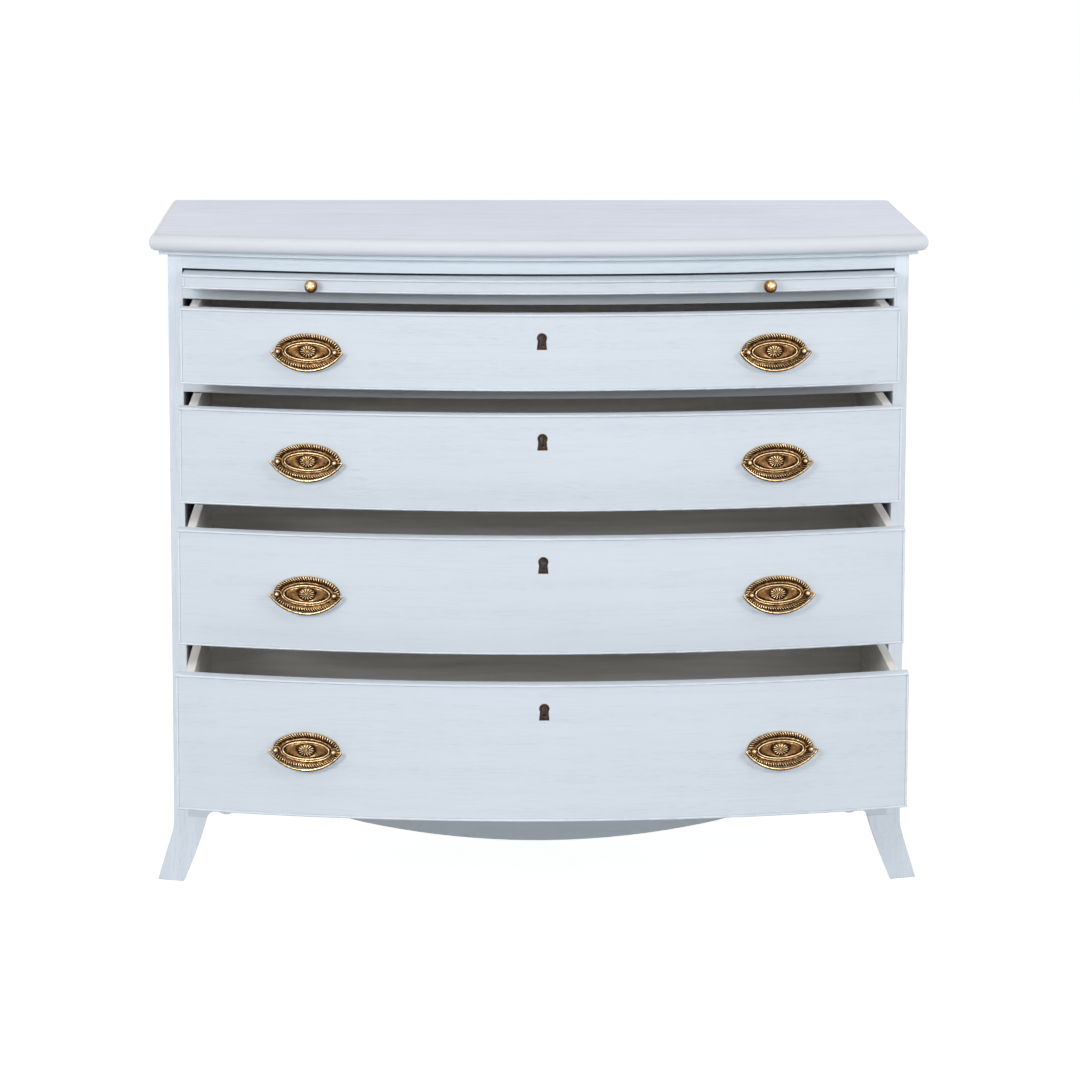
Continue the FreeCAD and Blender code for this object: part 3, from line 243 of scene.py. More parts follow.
@dataclass(frozen=True)
class PaintedOak:
    """Eggshell paint brushed on open-grain oak.

    The pores of oak are too deep for a thin paint film, so they print through it as short fine
    lines along the grain. Handled edges are rubbed to a warmer tone. Corners, joints and the
    quirks beside the beads are given painted shade, and narrow gaps are painted nearly black
    for the shade in them. The film is only a little glossy.
    """

    name: str
    grain: Grain
    paint: str = "#D2DAE2"
    streak: str = "#C0C8D0"
    rubbed: str = "#DDD5CE"
    smooth: str = "#D4D6DB"
    # painted shade: a grey-blue darkening for corners and quirks, and near black for narrow gaps
    painted_corner_shade: str = "#8C969E"
    gap: str = "#1B1714"
    contrast: float = 0.55
    roughness: float = 0.46
    cloud_mm: float = 260.0
    figure_mm: float = 14.0
    streak_mm: float = 2.0
    pore_mm: float = 0.5
    drift_mm: float = 3.0
    drift_over_mm: float = 240.0
    wear_mm: float = 45.0
    edge_mm: float = 2.0
    gap_mm: float = 6.0
    relief_mm: float = 0.10
    ease_mm: float = 0.9

    def material(self) -> bpy.types.Material:
        """Builds the paint: tone, streaks, pores, rubbed edges, and painted shade in corners and gaps.

        Returns:
            The finished material.
        """
        r = Recipe(self.name)
        wander = r.wandering(self.drift_mm, self.drift_over_mm)
        streaks = r.pattern(self.streak_mm, 2.0, self.grain.stretch, wander)
        figure = r.pattern(self.figure_mm, 3.0, self.grain.stretch, wander)
        # pores of oak are 0.3 mm wide; drawn 0.5 mm wide, so that they show at arm's length
        pores = r.pattern(self.pore_mm, 1.0, self.grain.stretch, wander)
        open_grain = r.add("MapRange", {0: figure, 1: 0.40, 2: 0.60, 3: 0.2, 4: 1.0})
        fleck = r.add("MapRange", {0: pores, 1: 0.60, 2: 0.70, 4: open_grain})
        shades = (
            (r.pattern(self.cloud_mm, 2.0, EVEN), (0.35, 0.65), 0.20),
            (figure, (0.45, 0.75), 0.25),
            (streaks, (0.54, 0.70), 0.45),
            (fleck, (0.0, 1.0), 0.75),
        )
        colour = linear(self.paint)
        for value, reach, share in shades:
            colour = r.layer(colour, linear(self.streak), value, reach, share * self.contrast)
        # rounded edges carry the patina attribute: sanded and filled there, they show little grain
        rounded = r.add("Attribute", attribute_name="patina", out="Fac")
        colour = r.layer(colour, linear(self.smooth), rounded, (0.0, 1.0), 0.9)
        worn = r.add("MapRange", {0: r.pattern(self.wear_mm, 3.0, EVEN), 1: 0.45, 2: 0.65, 4: 0.5})
        colour = r.layer(colour, linear(self.rubbed), r.edge_mask(self.edge_mm), (0.0, 1.0), worn)
        # painted shade: the paint is darkened where ambient occlusion finds corners, quirks and gaps
        gap = {"Distance": self.gap_mm * MM}
        openness = r.add("AmbientOcclusion", gap, out="AO", samples=SHADER_RAYS)
        colour = r.layer(colour, linear(self.painted_corner_shade), openness, (0.62, 0.40), 0.40)
        colour = r.layer(colour, linear(self.gap), openness, (0.30, 0.08))
        ridges = r.add("MapRange", {0: streaks, 4: 0.3})
        height = r.add("Math", {0: ridges, 1: fleck}, operation="SUBTRACT")
        filled = r.add("MapRange", {0: rounded, 3: 1, 4: 0.1})
        height = r.add("Math", {0: height, 1: filled}, operation="MULTIPLY")
        glossier, duller = self.roughness - 0.05, self.roughness + 0.08
        rough = r.add("MapRange", {0: streaks, 1: 0.3, 2: 0.8, 3: glossier, 4: duller})
        normal = r.relief(height, self.relief_mm, self.ease_mm)
        return r.finish({"Base Color": colour, "Roughness": rough, "Normal": normal, "IOR": 1.5})


@dataclass(frozen=True)
class LimedOak:
    """Planed oak rubbed with lime wax, unpainted.

    The wax stays in the pores, so the flecks are paler than the wood, and the wood between is a
    very pale buff with faint darker bands. It is matt.
    """

    name: str
    grain: Grain
    wood: str = "#F1EFEB"
    shade: str = "#E3DFD9"
    lime: str = "#F5F4F2"
    roughness: float = 0.68
    band_mm: float = 9.0
    pore_mm: float = 0.5
    drift_mm: float = 14.0
    drift_over_mm: float = 120.0
    relief_mm: float = 0.10
    ease_mm: float = 0.8

    def material(self) -> bpy.types.Material:
        """Builds the wood: growth bands, lime in the pores and a faint sawn relief.

        Returns:
            The finished material.
        """
        r = Recipe(self.name)
        wander = r.wandering(self.drift_mm, self.drift_over_mm)
        bands = r.pattern(self.band_mm, 4.0, self.grain.stretch, wander)
        # drawn 0.5 mm wide, as under the paint, so that they show
        pores = r.pattern(self.pore_mm, 2.0, self.grain.stretch, wander)
        flecks = r.add("MapRange", {0: pores, 1: 0.58, 2: 0.72})
        colour = r.layer(linear(self.wood), linear(self.shade), bands, (0.38, 0.66))
        colour = r.layer(colour, linear(self.lime), flecks, (0.0, 1.0), 0.5)
        height = r.add("Math", {0: bands, 1: flecks}, operation="SUBTRACT")
        normal = r.relief(height, self.relief_mm, self.ease_mm)
        return r.finish({"Base Color": colour, "Roughness": self.roughness, "Normal": normal, "IOR": 1.5})


@dataclass(frozen=True)
class AgedBrass:
    """Pressed and cast brass with an aged finish.

    The brass is darkened all over and then rubbed back, so dark brown stays in the hollows and
    the high edges shine. The mesh's patina attribute, 0 on the crests and 1 in the hollows, says
    how much of the dark finish is left. It also carries painted light: lighter upper faces, darker
    lower ones, and painted highlights on the balls, bails and rosette petals.
    """

    name: str
    bright: str = "#ECCFA0"
    body: str = "#84603B"
    hollow: str = "#261810"
    roughness: float = 0.24
    mottle_mm: float = 3.2
    mark_mm: float = 0.4
    mark_depth_mm: float = 0.02

    def material(self) -> bpy.types.Material:
        """Builds the brass from its patina, with mottling and fine rubbing marks.

        Returns:
            The finished material.
        """
        r = Recipe(self.name)
        patina = r.add("Attribute", attribute_name="patina", out="Fac")
        blotches = r.pattern(self.mottle_mm, 3.0, EVEN)
        mottle = r.add("MapRange", {0: blotches, 1: 0.3, 2: 0.7, 3: -0.2, 4: 0.2})
        uneven = r.add("Math", {0: patina, 1: mottle}, operation="ADD")
        colour = r.layer(linear(self.bright), linear(self.body), uneven, (0.02, 0.36))
        colour = r.layer(colour, linear(self.hollow), uneven, (0.40, 0.92))
        rough = r.add("MapRange", {0: uneven, 3: self.roughness, 4: self.roughness + 0.30})
        # rubbing marks are 0.1 mm wide; drawn 0.4 mm wide, so that they show
        marks = r.pattern(self.mark_mm, 2.0, Vector((0.2, 0.2, 1)))
        normal = r.add("Bump", {"Height": marks, "Distance": self.mark_depth_mm * MM})
        return r.finish({"Base Color": colour, "Metallic": 1.0, "Roughness": rough, "Normal": normal})


@dataclass(frozen=True)
class BrownedBrass:
    """Flat brass insert left to go brown, as cast and never polished.

    Oxide makes it a dull brown with a few warmer patches, and its edges are rubbed a little.
    """

    name: str
    brown: str = "#4B3629"
    dark: str = "#33251C"
    rubbed: str = "#9A7C60"
    roughness: float = 0.5
    mottle_mm: float = 3.5
    edge_mm: float = 0.7
    relief_mm: float = 0.05
    ease_mm: float = 0.4

    def material(self) -> bpy.types.Material:
        """Builds the oxide's mottling and the rubbed edges.

        Returns:
            The finished material.
        """
        r = Recipe(self.name)
        mottle = r.pattern(self.mottle_mm, 4.0, EVEN)
        colour = r.layer(linear(self.brown), linear(self.dark), mottle, (0.35, 0.65))
        colour = r.layer(colour, linear(self.rubbed), r.edge_mask(self.edge_mm), (0.0, 1.0), 0.7)
        normal = r.relief(mottle, self.relief_mm, self.ease_mm)
        inputs = {"Base Color": colour, "Metallic": 1.0, "Roughness": self.roughness, "Normal": normal}
        return r.finish(inputs)


@dataclass(frozen=True)
class StudioFloor:
    """Matt white paper. The eye and polished brass see it as white, and it keeps a soft shadow."""

    name: str
    paper: str = "#D6DBE0"
    glow: float = 0.93
    share: float = 0.38
    fibre_mm: float = 6.0
    relief_mm: float = 0.05

    def material(self) -> bpy.types.Material:
        """Builds paper for light, and for eyes and reflections a share of it with a glow.

        Returns:
            The finished material.
        """
        material = bpy.data.materials.new(self.name)
        material.use_nodes = True
        tree = material.node_tree
        tree.nodes.clear()
        place = add_node(tree, "TexCoord").outputs["Object"]
        fibre = {"Vector": place, "Scale": 1 / (self.fibre_mm * MM), "Detail": 3.0}
        height = add_node(tree, "TexNoise", fibre).outputs["Fac"]
        bump = add_node(tree, "Bump", {"Height": height, "Distance": self.relief_mm * MM})
        normal = bump.outputs["Normal"]
        paper = add_node(tree, "BsdfDiffuse", {"Color": linear(self.paper), "Normal": normal})
        seen = add_node(tree, "BsdfDiffuse", {"Color": linear(self.paper, self.share)})
        glow = add_node(tree, "Emission", {"Color": linear("#FFFFFF"), "Strength": self.glow})
        lit = add_node(tree, "AddShader", {0: seen.outputs["BSDF"], 1: glow.outputs["Emission"]})
        shaders = {0: seen_rays(tree), 1: paper.outputs["BSDF"], 2: lit.outputs["Shader"]}
        both = add_node(tree, "MixShader", shaders)
        add_node(tree, "OutputMaterial", {"Surface": both.outputs["Shader"]})
        return material


def seen_rays(tree: bpy.types.NodeTree) -> bpy.types.NodeSocket:
    """Tells rays that see from rays that light.

    Args:
        tree: node tree to add to.

    Returns:
        1 for rays from the eye, off metal and through glass, and 0 for the others.
    """
    path = add_node(tree, "LightPath").outputs
    seen = path["Is Camera Ray"]
    for kind in ("Is Glossy Ray", "Is Transmission Ray"):
        seen = add_node(tree, "Math", {0: seen, 1: path[kind]}, operation="MAXIMUM").outputs["Value"]
    return seen


# ---------------------------------------------------------------- surfaces


@dataclass
class Patch:
    """Closed surface on a grid: points has a row for each step along it and a column for each
    step round it, the columns join up, and patina has one number for each point."""

    points: np.ndarray
    patina: np.ndarray

    def moved(self, origin: Vector, axes: Sequence[Vector]) -> "Patch":
        """The patch set in the chest's frame: origin + x * axes[0] + y * axes[1] + z * axes[2]."""
        turn = np.array([tuple(axis) for axis in axes])
        return Patch(self.points @ turn + np.array(tuple(origin)), self.patina)


def grid_mesh(patch: Patch) -> tuple[np.ndarray, np.ndarray, np.ndarray]:
    """Turns a patch into welded points and quads.

    Each cell (i, j) of the grid becomes a quad with its corners at (i, j), (i, j + 1),
    (i + 1, j + 1) and (i + 1, j), the last column joined to the first. A first or last row whose
    points all fall together is one point, and its cells are triangles. The sum of
    dot(a, cross(b, c)) over the triangles is six times the volume, and its sign turns all the
    faces outwards.

    Args:
        patch: the grid and its patina.

    Returns:
        Points, faces as rows of four indices with the last repeated in a triangle, and patina.
    """
    rows, columns = patch.points.shape[:2]
    index = np.arange(rows * columns).reshape(rows, columns)
    for row in (0, -1):
        if np.ptp(patch.points[row], axis=0).max() < SAME_PLACE:
            index[row] = index[row, 0]
    after = np.roll(index, -1, axis=1)
    faces = np.stack([index[:-1], after[:-1], after[1:], index[1:]], axis=-1).reshape(-1, 4)
    first_pole = faces[:, 0] == faces[:, 1]
    faces[first_pole] = faces[first_pole][:, [0, 2, 3, 3]]
    used, faces = np.unique(faces, return_inverse=True)
    faces = faces.reshape(-1, 4)
    points = patch.points.reshape(-1, 3)[used]
    a, b, c, d = (points[faces[:, corner]] for corner in range(4))
    volume = np.einsum("ij,ij->", a, np.cross(b, c)) + np.einsum("ij,ij->", a, np.cross(c, d))
    if volume < 0:
        triangle = faces[:, 2] == faces[:, 3]
        faces = np.where(triangle[:, None], faces[:, [1, 0, 2, 2]], faces[:, ::-1])
    return points, faces, patch.patina.reshape(-1)[used]


def make_piece(name: str, patches: Sequence[Patch], material: bpy.types.Material) -> bpy.types.Object:
    """Makes one object from closed patches.

    Args:
        name: name of the object.
        patches: surfaces in the chest's frame.
        material: the finish.

    Returns:
        The object, at the origin, with its place in its mesh.
    """
    points, faces, patina, start = [], [], [], 0
    for patch in patches:
        some_points, some_faces, some_patina = grid_mesh(patch)
        points.append(some_points)
        faces.append(some_faces + start)
        patina.append(some_patina)
        start += len(some_points)
    quads = np.concatenate(faces)
    triangle = quads[:, 2] == quads[:, 3]
    sizes = np.where(triangle, 3, 4)
    keep = np.ones_like(quads, dtype=bool)
    keep[triangle, 3] = False
    mesh = bpy.data.meshes.new(name)
    mesh.vertices.add(start)
    mesh.vertices.foreach_set("co", np.concatenate(points).astype(np.float32).ravel())
    mesh.loops.add(int(sizes.sum()))
    mesh.loops.foreach_set("vertex_index", quads[keep].astype(np.int32))
    mesh.polygons.add(len(sizes))
    mesh.polygons.foreach_set("loop_start", (np.cumsum(sizes) - sizes).astype(np.int32))
    mesh.update(calc_edges=True)
    mesh.validate()
    layer = mesh.attributes.new("patina", "FLOAT", "POINT")
    layer.data.foreach_set("value", np.concatenate(patina).astype(np.float32))
    mesh.shade_smooth()
    mesh.set_sharp_from_angle(angle=math.radians(SHARP_DEGREES))
    mesh.materials.append(material)
    piece = bpy.data.objects.new(name, mesh)
    bpy.context.scene.collection.objects.link(piece)
    return piece


def turned(
    profile_mm: Sequence[tuple[float, float]], patina: Sequence[float], sides: int, painted_top_light: float = 0.22
) -> Patch:
    """Surface turned on the lathe about the Y axis.

    Each profile point (r, y) becomes the ring x = r cos a, z = r sin a at that y, for sides
    steps of the angle a.

    Args:
        profile_mm: radius and place along the axis of each point, in millimetres.
        patina: 0 to 1 for each point.
        sides: steps round the axis.
        painted_top_light: painted light on top of the piece and painted shade below, in its patina.

    Returns:
        The closed patch, in metres.
    """
    radius, along = (np.array(profile_mm) * MM).T
    angle = np.linspace(0, 2 * math.pi, sides, endpoint=False)
    points = np.empty((len(radius), sides, 3))
    points[..., 0] = radius[:, None] * np.cos(angle)
    points[..., 1] = along[:, None]
    points[..., 2] = radius[:, None] * np.sin(angle)
    # painted light from above: each ring is lighter on top and darker underneath
    return Patch(points, np.clip(np.array(patina)[:, None] - painted_top_light * np.sin(angle), 0, 1))


def arc_profile(radius: float, centre: float, start: float, end: float, steps: int) -> np.ndarray:
    """Points of a ball's profile: (radius sin a, centre - radius cos a) from start to end degrees."""
    angle = np.radians(np.linspace(start, end, steps))
    return np.stack([radius * np.sin(angle), centre - radius * np.cos(angle)], axis=1)


def painted_ball_sheen(steps: int) -> np.ndarray:
    """Patina from a ball's front to its neck: a painted highlight and wear in front, painted shade to the
    edge.
    """
    # painted highlight in the middle of the ball, turning to painted shade at its edge
    bare, gain = 0.05, 1.9
    return np.clip(gain * np.linspace(0, 1, steps) - bare, bare, DARK)


# ---------------------------------------------------------------- places


@dataclass(frozen=True)
class Bow:
    """Plan of the case's bowed face: an arc through its two front corners."""

    half_width: float = 0.478
    depth: float = 0.079
    corner_line: float = -0.0465

    @property
    def radius(self) -> float:
        """Radius of the arc, from its half chord and its depth."""
        return (self.half_width**2 + self.depth**2) / (2 * self.depth)

    def face_at(self, x: float, pulled_out: float) -> Vector:
        """Point of the face at x on a drawer or slide that is pulled_out, at height 0."""
        y = self.radius - self.depth - math.sqrt(self.radius**2 - x**2)
        return Vector((x, self.corner_line - pulled_out + y, 0.0))

    def axes_at(self, x: float) -> tuple[Vector, Vector, Vector]:
        """Directions at x on the face.

        Args:
            x: place across the chest.

        Returns:
            Along the face, into the wood, and up.
        """
        turn = math.asin(x / self.radius)
        along = Vector((math.cos(turn), math.sin(turn), 0.0))
        inward = Vector((-math.sin(turn), math.cos(turn), 0.0))
        return along, inward, Vector((0.0, 0.0, 1.0))


# ---------------------------------------------------------------- handles


@dataclass(frozen=True)
class Oval:
    """Oval x = half_width cos t, z = half_height sign(sin t) |sin t|^point. A point over 1
    draws its two ends out."""

    half_width: float
    half_height: float
    point: float = 1.0

    def inset(self, by: float) -> "Oval":
        """The oval set in by a distance all round."""
        return Oval(self.half_width - by, self.half_height - by, self.point)


@dataclass(frozen=True)
class OvalPlate:
    """Pressed oval back plate: a reeded rim, a dished band, a raised oval bead and a
    domed field with a rosette.

    Lengths are in millimetres, and back, low, field, rim_foot and crest are heights from the
    drawer's face: of the flat back, the band, the field, the rim's foot and the bead's top.
    """

    outside: Oval = Oval(42.5, 22.5)
    bead: Oval = Oval(30.8, 12.5, 1.02)
    rosette: Oval = Oval(10.8, 8.1)
    rim_width: float = 5.0
    bead_width: float = 3.0
    back: float = 0.1
    low: float = 1.6
    field: float = 2.0
    crest: float = 3.9
    dome: float = 0.7
    step: float = 0.5
    rim_foot: float = 2.3
    reed_depth: float = 1.2
    petal_height: float = 1.8
    button_height: float = 1.2
    button_reach: float = 0.22
    # painted light from above: upward slopes lighter and downward slopes darker
    painted_top_light: float = 0.40
    reeds: int = 62
    petals: int = 14
    columns: int = 558

    def patch(self) -> Patch:
        """Relief of the plate over an oval grid, closed by its flat back.

        Columns go round the plate at even steps of the outer oval's length. Rows blend from
        one nested oval to the next: out over the rosette, field, bead, band and rim, down the
        edge, and back in across the flat back.

        Returns:
            The closed patch, in metres.
        """
        rows = np.concatenate([self.middle(), self.bead_rows(), self.band(), self.rim(), self.edge()])
        angle = self.even_angles()
        x = rows[:, 0:1] * np.cos(angle)
        z = rows[:, 1:2] * np.sign(np.sin(angle)) * np.abs(np.sin(angle)) ** rows[:, 2:3]
        height = np.repeat(rows[:, 3:4], self.columns, axis=1)
        # patina of each row, with painted light on upward and painted shade on downward slopes
        patina_and_painted_light = rows[:, 4:5] + self.lean(rows) * np.sin(angle)
        self.cut_reeds(rows, height, patina_and_painted_light)
        self.raise_rosette(x, z, height, patina_and_painted_light)
        return Patch(np.stack([x, -height, z], axis=-1) * MM, np.clip(patina_and_painted_light, 0, 1))

    def even_angles(self) -> np.ndarray:
        """Works out where the columns stand: the length along the outer oval, inverted.

        Returns:
            Angles t at even steps of that length.
        """
        fine = np.linspace(0, 2 * math.pi, 7201)
        wide, high = self.outside.half_width, self.outside.half_height
        length = np.cumsum(np.hypot(*np.diff(np.stack([wide * np.cos(fine), high * np.sin(fine)]))))
        length = np.concatenate([[0], length])
        return np.interp(np.arange(self.columns) / self.columns * length[-1], length, fine)

    @staticmethod
    def zone(start: Oval, end: Oval, share: np.ndarray, height: Any, patina_and_painted_light: Any) -> np.ndarray:
        """Rows between two ovals, a plain blend of their three numbers by share.

        Args:
            start: oval at share 0.
            end: oval at share 1.
            share: one number for each row.
            height: height of each row.
            patina_and_painted_light: patina of each row, with painted light where a row has it.

        Returns:
            A row of half width, half height, point, height and patina for each share.
        """
        first = np.array([start.half_width, start.half_height, start.point])
        last = np.array([end.half_width, end.half_height, end.point])
        ovals = first + (last - first) * share[:, None]
        return np.column_stack([ovals, np.zeros_like(share) + height, np.zeros_like(share) + patina_and_painted_light])

    def lean(self, rows: np.ndarray) -> np.ndarray:
        """Works out painted light and shade on slopes from their rise per length outwards, kept within 1.

        Args:
            rows: rows as zone gives them.

        Returns:
            Patina that each row gains where it faces down, and loses where it faces up: painted
            shade on downward slopes and painted light on upward ones.
        """
        out = np.gradient(rows[:, 1])
        still = np.abs(out) < 0.01
        rise = np.gradient(rows[:, 3]) / np.where(still, 1.0, out)
        return self.painted_top_light * np.clip(rise, -1, 1)[:, None]

    def middle(self) -> np.ndarray:
        """Makes the rosette's seat and the domed field, a half wave from its groove to the bead.

        Returns:
            Rows as zone gives them.
        """
        centre = Oval(0.0, 0.0)
        rosette = self.zone(centre, self.rosette, np.linspace(0, 1, 16), self.field, 0.55)
        share = np.linspace(0.1, 1, 8)
        wave = np.sin(math.pi * share) ** 0.7
        edge = self.bead.inset(self.bead_width)
        height = self.field + self.dome * wave
        field = self.zone(self.rosette, edge, share, height, DARK - 0.45 * wave)
        return np.concatenate([rosette, field])

    def bead_rows(self) -> np.ndarray:
        """Makes the round bead: half a wave over a floor that falls from the field to the band.

        Returns:
            Rows as zone gives them.
        """
        share = np.linspace(0.1, 1, 10)
        swell = np.sin(math.pi * share)
        floor = self.field + (self.low - self.field) * share
        height = floor + (self.crest - floor) * swell**0.7
        inner = self.bead.inset(self.bead_width)
        return self.zone(inner, self.bead, share, height, DARK - 1.20 * swell**2)

    def band(self) -> np.ndarray:
        """Makes the dished band, with a soft step beside the bead, that rises to the rim's foot.

        Returns:
            Rows as zone gives them.
        """
        share = np.linspace(0.1, 1, 10)
        bump = np.exp(-(((share - 0.28) / 0.12) ** 2))
        height = self.low + self.step * bump + (self.rim_foot - self.low) * share**2.5
        # the soft step is lighter: crest patina and a painted highlight beside the bead
        return self.zone(self.bead, self.outside.inset(self.rim_width), share, height, 0.80 - 0.62 * bump)

    def rim(self) -> np.ndarray:
        """Makes the rounded rim, part of a wave from the band to the plate's edge.

        Returns:
            Rows as zone gives them.
        """
        share = np.linspace(0.06, 0.94, 12)
        wave = np.sin(math.pi * (0.16 + 0.78 * share))
        height = self.rim_foot + (self.crest - 0.1 - self.rim_foot) * wave
        return self.zone(self.outside.inset(self.rim_width), self.outside, share, height, 0.50)

    def edge(self) -> np.ndarray:
        """Goes down the rolled edge, and in across the flat back to its middle.

        Returns:
            Rows as zone gives them.
        """
        outside, centre = self.outside, Oval(0.0, 0.0)
        side = self.zone(outside, outside, np.array([0.0, 1.0]), [1.2, self.back], [0.5, 0.8])
        back = self.zone(outside, centre, np.array([0.34, 0.67, 1.0]), self.back, 0.8)
        return np.concatenate([side, back])

    def cut_reeds(self, rows: np.ndarray, height: np.ndarray, patina_and_painted_light: np.ndarray) -> None:
        """Cuts slanted reeds in the rim: a wave, the squared sine of the length round the oval
        plus the distance across the rim, faded in and out over its width. Reeds are drawn a
        fifth coarser than pressed ones, so that they show from across a room.

        Args:
            rows: rows as zone gives them.
            height: height of each point, changed here.
            patina_and_painted_light: patina of each point, changed here.
        """
        across = ((self.outside.half_width - rows[:, 0]) / self.rim_width)[:, None]
        turn = np.arange(self.columns) / self.columns
        trough = np.sin(math.pi * (self.reeds * turn[None, :] + 0.8 * across)) ** 2
        fade = np.clip(np.minimum((across - 0.04) / 0.14, (1.0 - across) / 0.16), 0, 1)
        height -= self.reed_depth * trough * fade
        patina_and_painted_light += fade * (1.2 * trough - 0.5)

    def raise_rosette(self, x: np.ndarray, z: np.ndarray, height: np.ndarray, patina_and_painted_light: np.ndarray) -> None:
        """Raises the rosette: petals, cos(petals times the angle), that swell away from a round
        button, in a dark groove.

        Args:
            x: place of each point across the plate.
            z: place of each point up the plate.
            height: height of each point, changed here.
            patina_and_painted_light: patina of each point, changed here.
        """
        wide, high = self.rosette.half_width, self.rosette.half_height
        reach = np.hypot(x / wide, z / high)
        petal = 0.5 + 0.5 * np.cos(self.petals * np.arctan2(z / high, x / wide))
        swell = np.clip(np.sin(math.pi * np.clip((reach - 0.08) / 0.84, 0, 1)), 0, 1) ** 0.6
        button = np.clip(1 - (reach / self.button_reach) ** 2, 0, 1) ** 0.5
        front = (height > self.back) & (reach <= 1.0001)
        raised = self.petal_height * swell * (0.3 + 0.7 * petal) + self.button_height * button
        height += np.where(front, raised, 0)
        # petal crests lighter, as patina and painted highlights; upper half painted lighter and lower half
        # darker, as light from above
        patina_and_painted_light += np.where(front, 0.40 - 2.1 * swell * petal**2 - 0.8 * button - 0.35 * z / high, 0)


@dataclass(frozen=True)
class DropBail:
    """Drop bail: a rod bowed down between two drawn points, with a pin turned in at each end."""

    half_width_mm: float = 46.5
    drop_mm: float = 23.5
    rod_mm: float = 3.9
    tip_mm: float = 2.3
    pin_mm: float = 2.7
    pin_inner_mm: float = 33.0
    tip_share: float = 0.012
    patina_and_painted_light: float = 0.78
    # painted highlight: strength and place of a thin bright line along the rod
    painted_highlight: float = 0.76
    highlight_degrees: float = -108.0
    steps: int = 64
    sides: int = 20

    def patches(self) -> list[Patch]:
        """The bow and its two pins, hung from the pivot line, which is the X axis."""
        return [self.bow(), self.pin(-1.0), self.pin(1.0)]

    def bow(self) -> Patch:
        """Carries a round section along an arc through the two points and the lowest point.

        The arc is x = R sin s, z = R - drop - R cos s, for s from -S to S. The section's radius
        swells from the tips to the middle as sin to the power 0.6, and closes to a point over
        tip_share of the arc at each end. A painted highlight runs along it round highlight_degrees,
        counted from the rod's lower side towards the wood, so in front and a little above its middle.

        Returns:
            The closed patch, in metres.
        """
        radius = (self.half_width_mm**2 + self.drop_mm**2) / (2 * self.drop_mm)
        limit = math.asin(self.half_width_mm / radius)
        share = np.linspace(0, 1, self.steps)
        share = 0.5 - 0.5 * np.cos(math.pi * share)
        s = (2 * share - 1) * limit
        centre = np.stack([radius * np.sin(s), 0 * s, radius - self.drop_mm - radius * np.cos(s)], axis=1)
        outward = np.stack([np.sin(s), 0 * s, -np.cos(s)], axis=1)
        swell = np.sin(math.pi * share) ** 0.6
        close = np.clip(np.minimum(share, 1 - share) / self.tip_share, 0, 1) ** 0.5
        size = (self.tip_mm + (self.rod_mm - self.tip_mm) * swell) / 2 * close
        around = np.linspace(0, 2 * math.pi, self.sides, endpoint=False)
        points = centre[:, None, :] + size[:, None, None] * (
            np.cos(around)[None, :, None] * outward[:, None, :]
            + np.sin(around)[None, :, None] * np.array([0.0, 1.0, 0.0])
        )
        # painted highlight: a thin bright line along the front of the rod, a little above its middle
        faces_highlight = np.clip(np.cos(around - math.radians(self.highlight_degrees)), 0, 1)
        patina_and_painted_light = self.patina_and_painted_light - self.painted_highlight * faces_highlight**6
        return Patch(points * MM, np.tile(patina_and_painted_light, (self.steps, 1)))

    def pin(self, side: float) -> Patch:
        """Makes the pin from inside the post's ball out to the point, a turned rod laid along X.

        Args:
            side: -1 for the left pin and 1 for the right one.

        Returns:
            The closed patch, in metres.
        """
        outer = self.half_width_mm - 0.2
        half = self.pin_mm / 2
        profile = [
            (0.0, self.pin_inner_mm),
            (half, self.pin_inner_mm),
            (half, outer - 3.2),
            (half * 0.96, outer - 1.4),
            (half * 0.72, outer - 0.4),
            (half * 0.4, outer),
            (0.0, outer + 0.1),
        ]
        rod = turned(profile, [0.7, 0.7, 0.45, 0.2, 0.1, 0.1, 0.1], self.sides)
        return Patch(rod.points[..., [1, 0, 2]] * np.array([side, 1.0, 1.0]), rod.patina)


